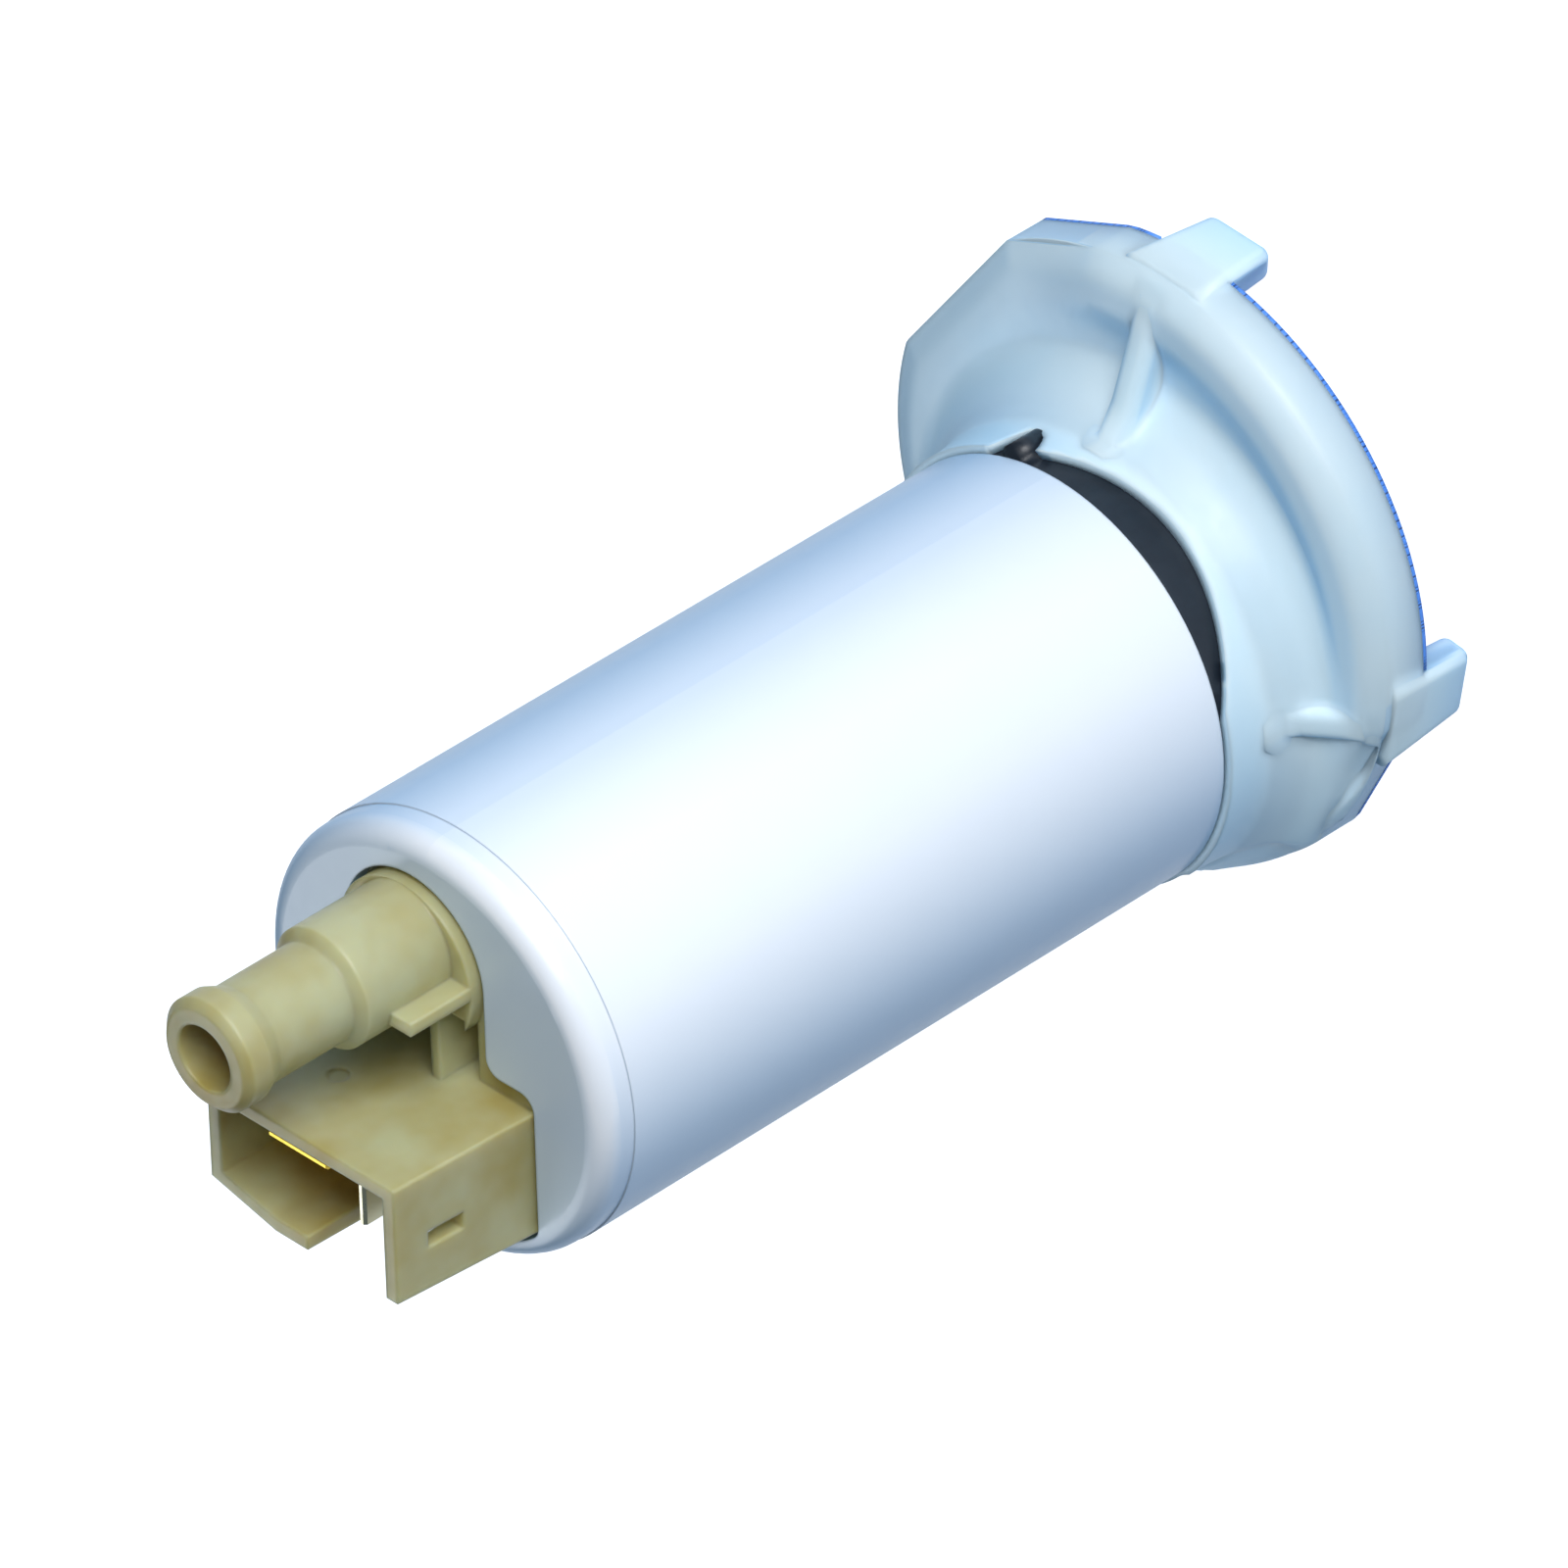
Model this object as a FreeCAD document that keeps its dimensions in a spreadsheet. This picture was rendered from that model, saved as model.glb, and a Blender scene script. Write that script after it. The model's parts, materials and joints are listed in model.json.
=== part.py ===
import FreeCAD, Part
import math
import os
import Sketcher

os.makedirs("parts", exist_ok=True)
doc = FreeCAD.newDocument("fuel_pump")
sheet = doc.addObject("Spreadsheet::Sheet", "sizes")
vec = FreeCAD.Vector

# In-tank electric fuel pump, upright, millimetres.
# Z is the motor axis and points at the outlet. Z = 0 is the lower edge of the white sleeve.
# +X is the outlet side, -X the connector side.

# Driving sizes, each with what it measures.
SIZES = {
    # white sleeve
    "sleeve_r": (19.0, "outer radius of the sleeve"),
    "sleeve_len": (68.5, "length of the sleeve"),
    "sleeve_wall": (1.5, "side wall of the sleeve"),
    "face_thick": (1.6, "front wall of the sleeve"),
    "edge_round": (2.0, "rounding of the front edge"),
    "band_len": (3.4, "length of the stepped front band"),
    "band_step": (0.12, "depth of the step behind the front band"),
    # keyhole in the front wall
    "lobe_x": (7.6, "centre of the keyhole's half round end along X"),
    "lobe_y": (1.65, "centre of the keyhole's half round end along Y"),
    "lobe_r": (7.7, "radius of the half round end"),
    "wide_x": (0.3, "where the wide part of the keyhole starts"),
    "wide_y": (11.25, "half width of the wide part"),
    "wide_arc": (17.1, "radius of the far edge of the wide part"),
    "step_round": (1.5, "rounding of the keyhole's steps"),
    "keyhole_gap": (0.4, "gap between the keyhole and the end cap"),
    # end cap
    "lobe_proud": (0.9, "how far the lobe stands out of the sleeve"),
    "recess_deep": (3.0, "floor of the recess below the sleeve's face"),
    "nipple_x": (9.6, "place of the outlet along X"),
    "nipple_y": (1.7, "place of the outlet along Y"),
    "boss_r": (5.25, "radius of the outlet boss"),
    "boss_top": (10.35, "top of the boss above the face"),
    "tube_r": (4.35, "radius of the outlet tube"),
    "tip_top": (22.05, "tip of the outlet above the face"),
    "bead_r": (4.95, "radius of the hose bead"),
    "bead_len": (1.8, "straight length of the hose bead"),
    "bead_ramp": (1.4, "length of each slope of the hose bead"),
    "nipple_bore": (2.9, "radius of the outlet bore"),
    "valve_bore": (3.7, "radius of the valve chamber"),
    "valve_top": (7.5, "top of the valve chamber above the face"),
    "fin_x": (8.0, "place of the side fin"),
    "fin_thick": (1.2, "thickness of the side fin"),
    "fin_reach": (5.6, "how far the side fin reaches from the motor axis"),
    "fin_top": (7.3, "top of the side fin above the face"),
    "web_y": (-2.1, "place of the web between boss and connector"),
    "web_thick": (1.0, "thickness of the web"),
    # connector shell
    "shell_top": (14.0, "top of the connector shell above the face"),
    "shell_wall": (1.25, "wall of the connector shell"),
    "shell_x": (-1.45, "outer face of the shell's back wall"),
    "shell_far": (-12.3, "outer end of the shell's side walls"),
    "shell_left": (10.65, "outer face of the plain side wall"),
    "shell_right": (-10.15, "outer face of the wall with the window"),
    "shell_draft": (0.9, "how much wider the shell is at its foot"),
    "slot_y": (-0.1, "edge of the slot in the shell's far side"),
    "window_x": (-7.7, "centre of the latch window"),
    "window_wide": (1.5, "width of the latch window"),
    "window_low": (7.1, "lower edge of the latch window above the face"),
    "window_high": (3.6, "height of the latch window"),
    "mark_r": (0.9, "radius of the moulding mark on the back wall"),
    "mark_deep": (0.15, "depth of the moulding mark"),
    "mark_y": (3.8, "place of the moulding mark along the back wall"),
    "mark_z": (6.5, "height of the moulding mark above the face"),
    # blade terminals
    "blade_wide": (6.3, "width of a blade"),
    "blade_thick": (0.8, "thickness of a blade"),
    "blade_top": (12.0, "top of the blades above the face"),
    "blade_foot": (64.5, "underside of the terminal tabs"),
    "blade_ax": (-5.2, "place of the cross blade"),
    "blade_ay": (2.8, "middle of the cross blade"),
    "blade_bx": (-5.55, "middle of the long blade"),
    "blade_by": (-4.25, "place of the long blade"),
    # motor casing
    "casing_gap": (0.05, "gap between casing and sleeve"),
    "casing_fit": (0.05, "gap between the casing and what it holds"),
    "casing_wall": (1.35, "wall of the steel casing"),
    "casing_low": (-3.4, "lower end of the casing"),
    "casing_top": (62.6, "upper end of the casing"),
    "lip_thick": (0.8, "thickness of the rolled lips"),
    "lip_r": (14.7, "inner radius of the rolled lips"),
    "plug_low": (54.0, "underside of the end cap"),
    # carbon brushes
    "brush_y": (8.0, "distance of a brush from the motor axis"),
    "brush_x_size": (5.0, "brush size across"),
    "brush_y_size": (4.0, "brush size outwards"),
    "brush_len": (9.0, "brush length"),
    "brush_gap": (0.1, "running gap around a brush"),
    "guide_wall": (0.5, "wall of a brush guide"),
    "guide_low": (52.6, "lower end of a brush guide"),
    "guide_top": (64.0, "upper end of a brush guide"),
    "brush_spring_r": (1.45, "mean radius of a brush spring"),
    "brush_wire_r": (0.2, "wire radius of a brush spring"),
    # suppression chokes
    "choke_x": (-9.5, "place of the chokes along X"),
    "choke_y": (6.0, "place of the chokes along Y"),
    "choke_core_r": (1.2, "radius of a choke core"),
    "choke_coil_r": (2.3, "radius of a choke coil"),
    "choke_low": (51.5, "lower end of a choke core"),
    "coil_low": (53.0, "lower end of a choke coil"),
    "coil_top": (62.5, "upper end of a choke coil"),
    "coil_turn": (0.95, "height of one modelled turn of a choke coil"),
    # rotor
    "shaft_r": (2.0, "radius of the shaft"),
    "shaft_low": (0.55, "lower end of the shaft"),
    "shaft_top": (57.4, "upper end of the shaft"),
    "run_gap": (0.03, "running gap of the bearings"),
    "core_r": (11.2, "radius of the armature core"),
    "core_low": (17.0, "lower end of the armature core"),
    "core_len": (22.0, "length of the armature core"),
    "slot_wide": (2.2, "width of an armature slot"),
    "slot_floor": (6.4, "radius of the slot floors"),
    "winding_r": (10.6, "outer radius of the windings"),
    "end_turns": (3.6, "height of the end turns"),
    "commutator_r": (10.6, "radius of the commutator"),
    "commutator_low": (45.0, "lower face of the commutator"),
    "commutator_top": (49.5, "running face of the commutator"),
    "slit_wide": (0.5, "width of the commutator's slits"),
    "bearing_r": (4.2, "outer radius of the bearings"),
    "bearing_len": (4.6, "length of the bearings"),
    "upper_bearing_low": (53.4, "lower end of the upper bearing"),
    "washer_r": (3.8, "radius of the thrust washer"),
    "washer_thick": (1.0, "thickness of the thrust washer"),
    "washer_gap": (0.3, "end play below the upper bearing"),
    # magnets
    "air_gap": (0.6, "gap between core and magnets"),
    "magnet_low": (14.0, "lower end of the magnets"),
    "magnet_len": (28.0, "length of the magnets"),
    "magnet_turn": (130.0, "angle that a magnet covers"),
    "clip_thick": (0.8, "thickness of a magnet clip"),
    "clip_len": (24.0, "length of a magnet clip"),
    # pump section
    "impeller_r": (14.0, "radius of the impeller"),
    "impeller_thick": (3.7, "thickness of the impeller"),
    "impeller_play": (0.05, "play above and below the impeller"),
    "impeller_side": (0.2, "gap around the impeller"),
    "vane_deep": (2.3, "depth of the vane pockets"),
    "vane_wide": (1.5, "width of the vane pockets"),
    "split_z": (2.0, "joint between pump cover and pump housing"),
    "housing_top": (11.0, "top of the pump housing"),
    "channel_in": (11.3, "inner radius of the flow channel"),
    "channel_deep": (1.2, "depth of the flow channel"),
    "port_x": (-12.4, "place of the outlet port of the pump housing"),
    "port_r": (1.9, "radius of that port"),
    "inlet_x": (9.6, "place of the inlet stub"),
    "inlet_r": (4.6, "outer radius of the inlet stub"),
    "inlet_bore": (3.2, "radius of the inlet bore"),
    "inlet_low": (-9.5, "lower end of the inlet stub"),
    # pressure relief valve
    "relief_x": (-11.4, "place of the relief valve"),
    "relief_out": (3.1, "outer radius of the relief valve boss"),
    "relief_bore": (1.65, "radius of the relief valve bore"),
    "relief_hole": (1.0, "radius of the hole that the ball closes"),
    "relief_seat": (-0.4, "top of the relief valve bore"),
    "relief_low": (-8.4, "lower end of the relief valve boss"),
    "plug_len": (1.3, "length of the relief valve plug"),
    "ball_r": (1.5, "radius of the relief valve ball"),
    "relief_wire_r": (0.18, "wire radius of the relief spring"),
    # rubber rings
    "seal_r": (0.8, "section radius of the sealing rings"),
    "cap_seal_z": (58.5, "middle of the upper sealing ring"),
    "pump_seal_z": (8.6, "middle of the lower sealing ring"),
    "rubber_r": (18.7, "outer radius of the rubber ring"),
    "rubber_low": (-5.4, "underside of the rubber ring"),
    "lug_r": (1.15, "radius of the rubber ring's round lugs"),
    "lug_turn": (14.0, "angle of the first lug"),
    # outlet check valve
    "seat_low": (61.0, "underside of the valve seat"),
    "seat_top": (64.0, "sealing face of the valve seat"),
    "seat_hole": (1.9, "radius of the hole in the valve seat"),
    "poppet_r": (3.5, "radius of the valve disc"),
    "poppet_thick": (1.6, "thickness of the valve disc"),
    "stem_r": (1.5, "radius of the valve stem"),
    "stem_len": (5.0, "length of the valve stem"),
    "check_spring_r": (3.2, "mean radius of the check valve spring"),
    "check_wire_r": (0.25, "wire radius of the check valve spring"),
    # strainer cup
    "cup_x": (6.6, "distance of the cup's centre from the motor axis"),
    "cup_r": (27.2, "outer radius of the cup"),
    "cup_wall": (1.5, "wall of the cup"),
    "cup_rim": (-14.2, "rim of the cup"),
    "shoulder_z": (-8.9, "top of the cup's shoulder"),
    "shoulder_wide": (3.4, "width of the shoulder"),
    "shoulder_round": (1.9, "rounding of the shoulder"),
    "dish_deep": (1.2, "depth of the dished top"),
    "dish_slope": (3.0, "width of the slope into the dish"),
    "collar_top": (-3.75, "top of the collar around the rubber ring"),
    "collar_wall": (1.3, "wall of the collar at its top"),
    "collar_foot": (24.0, "radius where the collar meets the dish"),
    "hub_hole": (14.7, "radius of the hole into the cup"),
    "flat_turn": (52.5, "angle of the flat on the cup"),
    "flat_deep": (1.7, "depth of the flat"),
    # feet, ribs and mesh of the cup
    "foot_low": (-19.75, "underside of the feet"),
    "foot_wide": (8.4, "width of a foot at the cup"),
    "foot_tip": (6.6, "width of a foot at its tip"),
    "foot_thick": (3.4, "thickness of a foot"),
    "foot_proud": (0.4, "how far a foot stands out of the cup"),
    "foot_round": (1.0, "rounding of the feet"),
    "rib_thick": (2.8, "thickness of a rib"),
    "rib_round": (1.1, "rounding of the top of a rib"),
    "mesh_thick": (0.35, "thickness of the filter mesh"),
    "mesh_inset": (0.25, "how far the mesh edge lies inside the rim"),
    "mesh_rib": (1.2, "thickness of the ribs that carry the mesh"),
    "mesh_rib_in": (12.5, "where these ribs end, measured from the cup's centre"),
    "mesh_root_in": (13.0, "inner end of a mesh rib's root in the cup's top"),
    "mesh_root_len": (1.0, "length of that root"),
}

# Angles of the three feet around the cup's centre, degrees.
FOOT_TURNS = (-5.0, -100.0, 127.5)
ARMATURE_SLOTS = 10
VANES = 30
LUGS = 4


class Size:
    """A number together with the sheet formula that gives it."""

    def __init__(self, value, text):
        self.value = value
        self.text = text

    def _join(self, other, sign, value):
        return Size(value, "(" + self.text + " " + sign + " " + formula(other) + ")")

    def __add__(self, other):
        return self._join(other, "+", self.value + number(other))

    def __sub__(self, other):
        return self._join(other, "-", self.value - number(other))

    def __mul__(self, other):
        return self._join(other, "*", self.value * number(other))

    def __truediv__(self, other):
        return self._join(other, "/", self.value / number(other))

    def __neg__(self):
        return Size(-self.value, "(0 - " + self.text + ")")


def number(size):
    """Plain value of a size or a number."""
    return size.value if isinstance(size, Size) else float(size)


def formula(size):
    """Sheet formula of a size or a number."""
    return size.text if isinstance(size, Size) else repr(float(size))


def fill_sheet():
    """Write the sizes to the sheet and return them by name."""
    found = {}
    for row, (name, (value, meaning)) in enumerate(SIZES.items(), start=1):
        sheet.set("A%d" % row, name)
        sheet.set("B%d" % row, str(value))
        sheet.set("C%d" % row, meaning)
        sheet.setAlias("B%d" % row, name)
        found[name] = Size(value, "sizes." + name)
    doc.recompute()
    return found


S = fill_sheet()
FACE = S["sleeve_len"]
CASING_R = S["sleeve_r"] - S["sleeve_wall"] - S["casing_gap"]
CASING_IN = CASING_R - S["casing_wall"]
INSERT_R = CASING_IN - S["casing_fit"]
COLLAR_R = S["rubber_r"] + S["collar_wall"]


def bind(thing, **sizes):
    """Bind properties to sheet formulas."""
    for name, size in sizes.items():
        thing.setExpression(name, formula(size))


def place(thing, x=0, y=0, z=0):
    """Bind the place of an object."""
    for axis, size in (("x", x), ("y", y), ("z", z)):
        thing.setExpression("Placement.Base." + axis, formula(size))


def turn(thing, angle, x=0, y=0, z=0):
    """Turn an object about an upright line through x, y."""
    thing.Placement = FreeCAD.Placement(vec(0, 0, 0), FreeCAD.Rotation(vec(0, 0, 1), number(angle)))
    place(thing, x, y, z)


def cylinder(name, radius, low, high, x=0, y=0):
    """Upright cylinder between two heights."""
    thing = doc.addObject("Part::Cylinder", name)
    bind(thing, Radius=radius, Height=high - low if isinstance(high, Size) else -(low - high))
    place(thing, x, y, low)
    return thing


def box(name, x_low, x_high, y_low, y_high, z_low, z_high):
    """Box between two corners."""
    thing = doc.addObject("Part::Box", name)
    spans = (("Length", x_low, x_high), ("Width", y_low, y_high), ("Height", z_low, z_high))
    for side, low, high in spans:
        thing.setExpression(side, formula(high) + " - " + formula(low))
    place(thing, x_low, y_low, z_low)
    return thing


def wedge(name, low_box, high_box, z_low, z_high):
    """Block that tapers from one rectangle to another; each is x low, x high, y low, y high."""
    thing = doc.addObject("Part::Wedge", name)
    thing.Placement = FreeCAD.Placement(vec(0, 0, 0), FreeCAD.Rotation(vec(1, 0, 0), 90))
    bind(thing, Ymin=z_low, Ymax=z_high, Xmin=low_box[0], Xmax=low_box[1], X2min=high_box[0],
         X2max=high_box[1], Zmin=-low_box[3], Zmax=-low_box[2], Z2min=-high_box[3],
         Z2max=-high_box[2])
    return thing


def cut(name, base, tools):
    """Base without the tools."""
    tool = tools[0] if len(tools) == 1 else fuse(name + "_tools", tools)
    thing = doc.addObject("Part::Cut", name)
    thing.Base = base
    thing.Tool = tool
    return thing


def fuse(name, things):
    """Union of several objects as one clean solid."""
    thing = doc.addObject("Part::MultiFuse", name)
    thing.Shapes = things
    thing.Refine = True
    return thing


def common(name, one, other):
    """Shared volume of two objects."""
    thing = doc.addObject("Part::Common", name)
    thing.Base = one
    thing.Tool = other
    return thing


def tube(name, outer, inner, low, high, x=0, y=0):
    """Upright tube between two heights."""
    solid = cylinder(name + "_outside", outer, low, high, x, y)
    return cut(name, solid, [cylinder(name + "_inside", inner, low, high, x, y)])


def rounded(name, base, radius, wanted):
    """Round the edges of an object that wanted() picks."""
    doc.recompute()
    thing = doc.addObject("Part::Fillet", name)
    thing.Base = base
    edges = base.Shape.Edges
    thing.Edges = [(i, radius, radius) for i, edge in enumerate(edges, start=1) if wanted(edge)]
    return thing


def is_upright(edge):
    """True for a straight edge along Z."""
    if len(edge.Vertexes) != 2 or not isinstance(edge.Curve, Part.Line):
        return False
    ends = [v.Point for v in edge.Vertexes]
    return abs(ends[0].x - ends[1].x) < 1e-4 and abs(ends[0].y - ends[1].y) < 1e-4


def new_body(name):
    """Empty body."""
    return doc.addObject("PartDesign::Body", name)


def origin_part(body, role):
    """Origin plane or axis of a body by its role."""
    return [item for item in body.Origin.OriginFeatures if item.Role == role][0]


def outline(body, name, points, role="XZ_Plane", lift=0):
    """Closed sketch through points whose coordinates follow the sheet."""
    sketch = body.newObject("Sketcher::SketchObject", name)
    sketch.AttachmentSupport = (origin_part(body, role), [""])
    sketch.MapMode = "FlatFace"
    sketch.setExpression("AttachmentOffset.Base.z", formula(lift))
    count = len(points)
    flat = [vec(number(x), number(y), 0) for x, y in points]
    for i in range(count):
        sketch.addGeometry(Part.LineSegment(flat[i], flat[(i + 1) % count]), False)
    for i in range(count):
        sketch.addConstraint(Sketcher.Constraint("Coincident", i, 2, (i + 1) % count, 1))
    for i, (x, y) in enumerate(points):
        for kind, size in (("DistanceX", x), ("DistanceY", y)):
            rule = Sketcher.Constraint(kind, -1, 1, i, 1, number(size))
            index = sketch.addConstraint(rule)
            sketch.setExpression("Constraints[%d]" % index, formula(size))
    return sketch


def revolve(body, name, points, angle=360):
    """Revolve an outline of radius and height points about the body's Z axis."""
    sketch = outline(body, name + "_outline", points)
    feature = body.newObject("PartDesign::Revolution", name)
    feature.Profile = sketch
    feature.ReferenceAxis = (sketch, ["V_Axis"])
    bind(feature, Angle=angle)
    body.Tip = feature
    return feature


def turned(name, points, angle=360):
    """Body that is one revolved outline."""
    body = new_body(name)
    revolve(body, name + "_turned", points, angle)
    return body


def pad(body, name, points, length, role="XY_Plane", lift=0, both_sides=False):
    """Pad an outline."""
    sketch = outline(body, name + "_outline", points, role, lift)
    feature = body.newObject("PartDesign::Pad", name)
    feature.Profile = sketch
    feature.Midplane = both_sides
    bind(feature, Length=length)
    body.Tip = feature
    return feature


def pocket(body, name, points, role="XY_Plane"):
    """Cut an outline right through the body both ways."""
    sketch = outline(body, name + "_outline", points, role)
    feature = body.newObject("PartDesign::Pocket", name)
    feature.Profile = sketch
    feature.Type = "ThroughAll"
    feature.Midplane = True
    body.Tip = feature
    return feature


def sink(body, name, points, depth, lift):
    """Cut an outline downwards from a height."""
    sketch = outline(body, name + "_outline", points, "XY_Plane", lift)
    feature = body.newObject("PartDesign::Pocket", name)
    feature.Profile = sketch
    bind(feature, Length=depth)
    body.Tip = feature
    return feature


def around(body, name, feature, count):
    """Repeat a feature around the body's Z axis."""
    pattern = body.newObject("PartDesign::PolarPattern", name)
    pattern.Originals = [feature]
    pattern.Axis = (origin_part(body, "Z_Axis"), [""])
    pattern.Angle = 360
    pattern.Occurrences = count
    body.Tip = pattern
    return pattern


def rectangle(x_low, x_high, y_low, y_high):
    """Corner points of a rectangle."""
    return [(x_low, y_low), (x_high, y_low), (x_high, y_high), (x_low, y_high)]


def spring(name, mean_r, wire_r, low, high, turns, x=0, y=0):
    """Coil spring that fills the height from low to high."""
    helix = doc.addObject("Part::Helix", name + "_path")
    length = high - low - wire_r * 2
    bind(helix, Radius=mean_r, Height=length, Pitch=length / turns)
    helix.SegmentLength = 1
    wire = doc.addObject("Part::Circle", name + "_wire")
    wire.Placement = FreeCAD.Placement(vec(0, 0, 0), FreeCAD.Rotation(vec(1, 0, 0), 90))
    bind(wire, Radius=wire_r)
    place(wire, mean_r, 0, 0)
    sweep = doc.addObject("Part::Sweep", name)
    sweep.Sections = [wire]
    sweep.Spine = (helix, ["Edge%d" % (i + 1) for i in range(turns)])
    sweep.Solid = True
    sweep.Frenet = True
    place(sweep, x, y, low + wire_r)
    return sweep


def keyhole(name, gap, low, high):
    """Keyhole shaped block, smaller than the opening all round by gap."""
    side = S["lobe_r"] - gap
    lobe = cylinder(name + "_lobe", side, low, high, S["lobe_x"], S["lobe_y"])
    neck = box(name + "_neck", S["wide_x"] - 2, S["lobe_x"], S["lobe_y"] - side,
               S["lobe_y"] + side, low, high)
    wide = S["wide_y"] - gap
    blank = box(name + "_blank", -S["sleeve_r"], S["wide_x"] - gap, -wide, wide, low, high)
    arc = cylinder(name + "_arc", S["wide_arc"] - gap, low, high)
    whole = fuse(name + "_sharp", [lobe, neck, common(name + "_wide", blank, arc)])
    inside = number(S["lobe_x"]) - 1.0
    near = lambda edge: is_upright(edge) and edge.Vertexes[0].X < inside \
        and edge.Vertexes[0].Y < 0
    far = lambda edge: is_upright(edge) and edge.Vertexes[0].X < inside \
        and edge.Vertexes[0].Y > 0
    half = rounded(name + "_near", whole, number(S["step_round"]), near)
    return rounded(name, half, number(S["step_round"]) / 2, far)


def make_sleeve():
    """White sleeve: tube, front wall with the keyhole, rounded front edge, stepped band."""
    outer = S["sleeve_r"]
    inner = outer - S["sleeve_wall"]
    band = outer - S["band_step"]
    body = new_body("sleeve_blank")
    blank = revolve(body, "sleeve_turned", [
        (inner, 0), (outer, 0), (outer, FACE - S["band_len"]), (band, FACE - S["band_len"]),
        (band, FACE), (0, FACE), (0, FACE - S["face_thick"]), (inner, FACE - S["face_thick"])])
    doc.recompute()
    height = number(FACE)
    front = [i for i, edge in enumerate(blank.Shape.Edges, start=1)
             if isinstance(edge.Curve, Part.Circle) and abs(edge.CenterOfMass.z - height) < 1e-3]
    round_edge = body.newObject("PartDesign::Fillet", "front_round")
    round_edge.Base = (blank, ["Edge%d" % i for i in front])
    bind(round_edge, Radius=S["edge_round"])
    body.Tip = round_edge
    opening = keyhole("keyhole", 0, FACE - S["face_thick"] - 1, FACE + 1)
    return cut("sleeve", body, [opening])


def make_motor_casing():
    """Steel casing with both ends rolled inwards."""
    lip = S["lip_thick"]
    low, top = S["casing_low"], S["casing_top"]
    return turned("motor_casing", [
        (S["lip_r"], low), (CASING_R, low), (CASING_R, top), (S["lip_r"], top),
        (S["lip_r"], top - lip), (CASING_IN, top - lip), (CASING_IN, low + lip),
        (S["lip_r"], low + lip)])


def brush_sides(grow, y_sign):
    """Plan of a brush grown all round: x low, x high, y low, y high."""
    half_x = S["brush_x_size"] / 2 + grow
    half_y = S["brush_y_size"] / 2 + grow
    middle = S["brush_y"] * y_sign
    return -half_x, half_x, middle - half_y, middle + half_y


def make_brushes():
    """Carbon brushes, their brass guides and springs. Returns what the end cap leaves free."""
    made = {}
    holes = []
    for letter, sign in (("a", 1), ("b", -1)):
        low = S["commutator_top"]
        high = low + S["brush_len"]
        made["brush_" + letter] = box("brush_" + letter, *brush_sides(0, sign), low, high)
        gap = S["brush_gap"]
        full = brush_sides(gap + S["guide_wall"], sign)
        bore = box("guide_bore_" + letter, *brush_sides(gap, sign), S["guide_low"], S["guide_top"])
        blank = box("guide_blank_" + letter, *full, S["guide_low"], S["guide_top"])
        made["brush_guide_" + letter] = cut("brush_guide_" + letter, blank, [bore])
        holes.append(box("guide_seat_" + letter, *full, S["plug_low"], S["guide_top"]))
        made["brush_spring_" + letter] = spring(
            "brush_spring_" + letter, S["brush_spring_r"], S["brush_wire_r"], high,
            S["guide_top"], 5, 0, S["brush_y"] * sign)
    return made, holes


def make_chokes():
    """Ferrite rods with copper coils, and the end cap's bores for them."""
    made = {}
    holes = []
    for letter, sign in (("a", 1), ("b", -1)):
        y = S["choke_y"] * sign
        core, coil = S["choke_core_r"], S["choke_coil_r"]
        made["choke_core_" + letter] = cylinder(
            "choke_core_" + letter, core, S["choke_low"], S["blade_foot"], S["choke_x"], y)
        points = [(core, S["coil_low"])]
        turns = int((number(S["coil_top"]) - number(S["coil_low"])) / number(S["coil_turn"]))
        for i in range(turns):
            foot = S["coil_low"] + S["coil_turn"] * i
            points += [(coil - 0.3, foot), (coil, foot + S["coil_turn"] / 2)]
        end = S["coil_low"] + S["coil_turn"] * turns
        points += [(coil - 0.3, end), (core, end)]
        winding = turned("choke_coil_" + letter, points)
        place(winding, S["choke_x"], y, 0)
        made["choke_coil_" + letter] = winding
        holes.append(cylinder("choke_seat_" + letter, coil, S["plug_low"], S["blade_foot"],
                              S["choke_x"], y))
    return made, holes


def make_terminals():
    """Two blades at right angles, each on a tab that reaches its choke."""
    half, thick = S["blade_wide"] / 2, S["blade_thick"]
    foot, top = S["blade_foot"], FACE + S["blade_top"]
    tab_in = S["choke_x"] - S["choke_core_r"]
    ax, ay = S["blade_ax"], S["blade_ay"]
    bx, by = S["blade_bx"], S["blade_by"]
    blades = {
        "terminal_a": (
            box("cross_blade", ax - thick / 2, ax + thick / 2, ay - half, ay + half, foot, top),
            box("cross_tab", tab_in, ax, ay + half - 1.6, S["choke_y"] + 0.6, foot, foot + thick)),
        "terminal_b": (
            box("long_blade", bx - half, bx + half, by - thick / 2, by + thick / 2, foot, top),
            box("long_tab", tab_in, bx, -(S["choke_y"] + 0.6), by, foot, foot + thick)),
    }
    made = {}
    for name, pieces in blades.items():
        whole = fuse(name + "_sharp", list(pieces))
        height = number(top)
        tip = lambda edge: abs(edge.CenterOfMass.z - height) < 1e-3 and edge.Length > 3
        doc.recompute()
        ground = doc.addObject("Part::Chamfer", name)
        ground.Base = whole
        chosen = [i for i, edge in enumerate(whole.Shape.Edges, start=1) if tip(edge)]
        ground.Edges = [(i, 0.25, 0.25) for i in chosen]
        made[name] = ground
    return made


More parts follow.
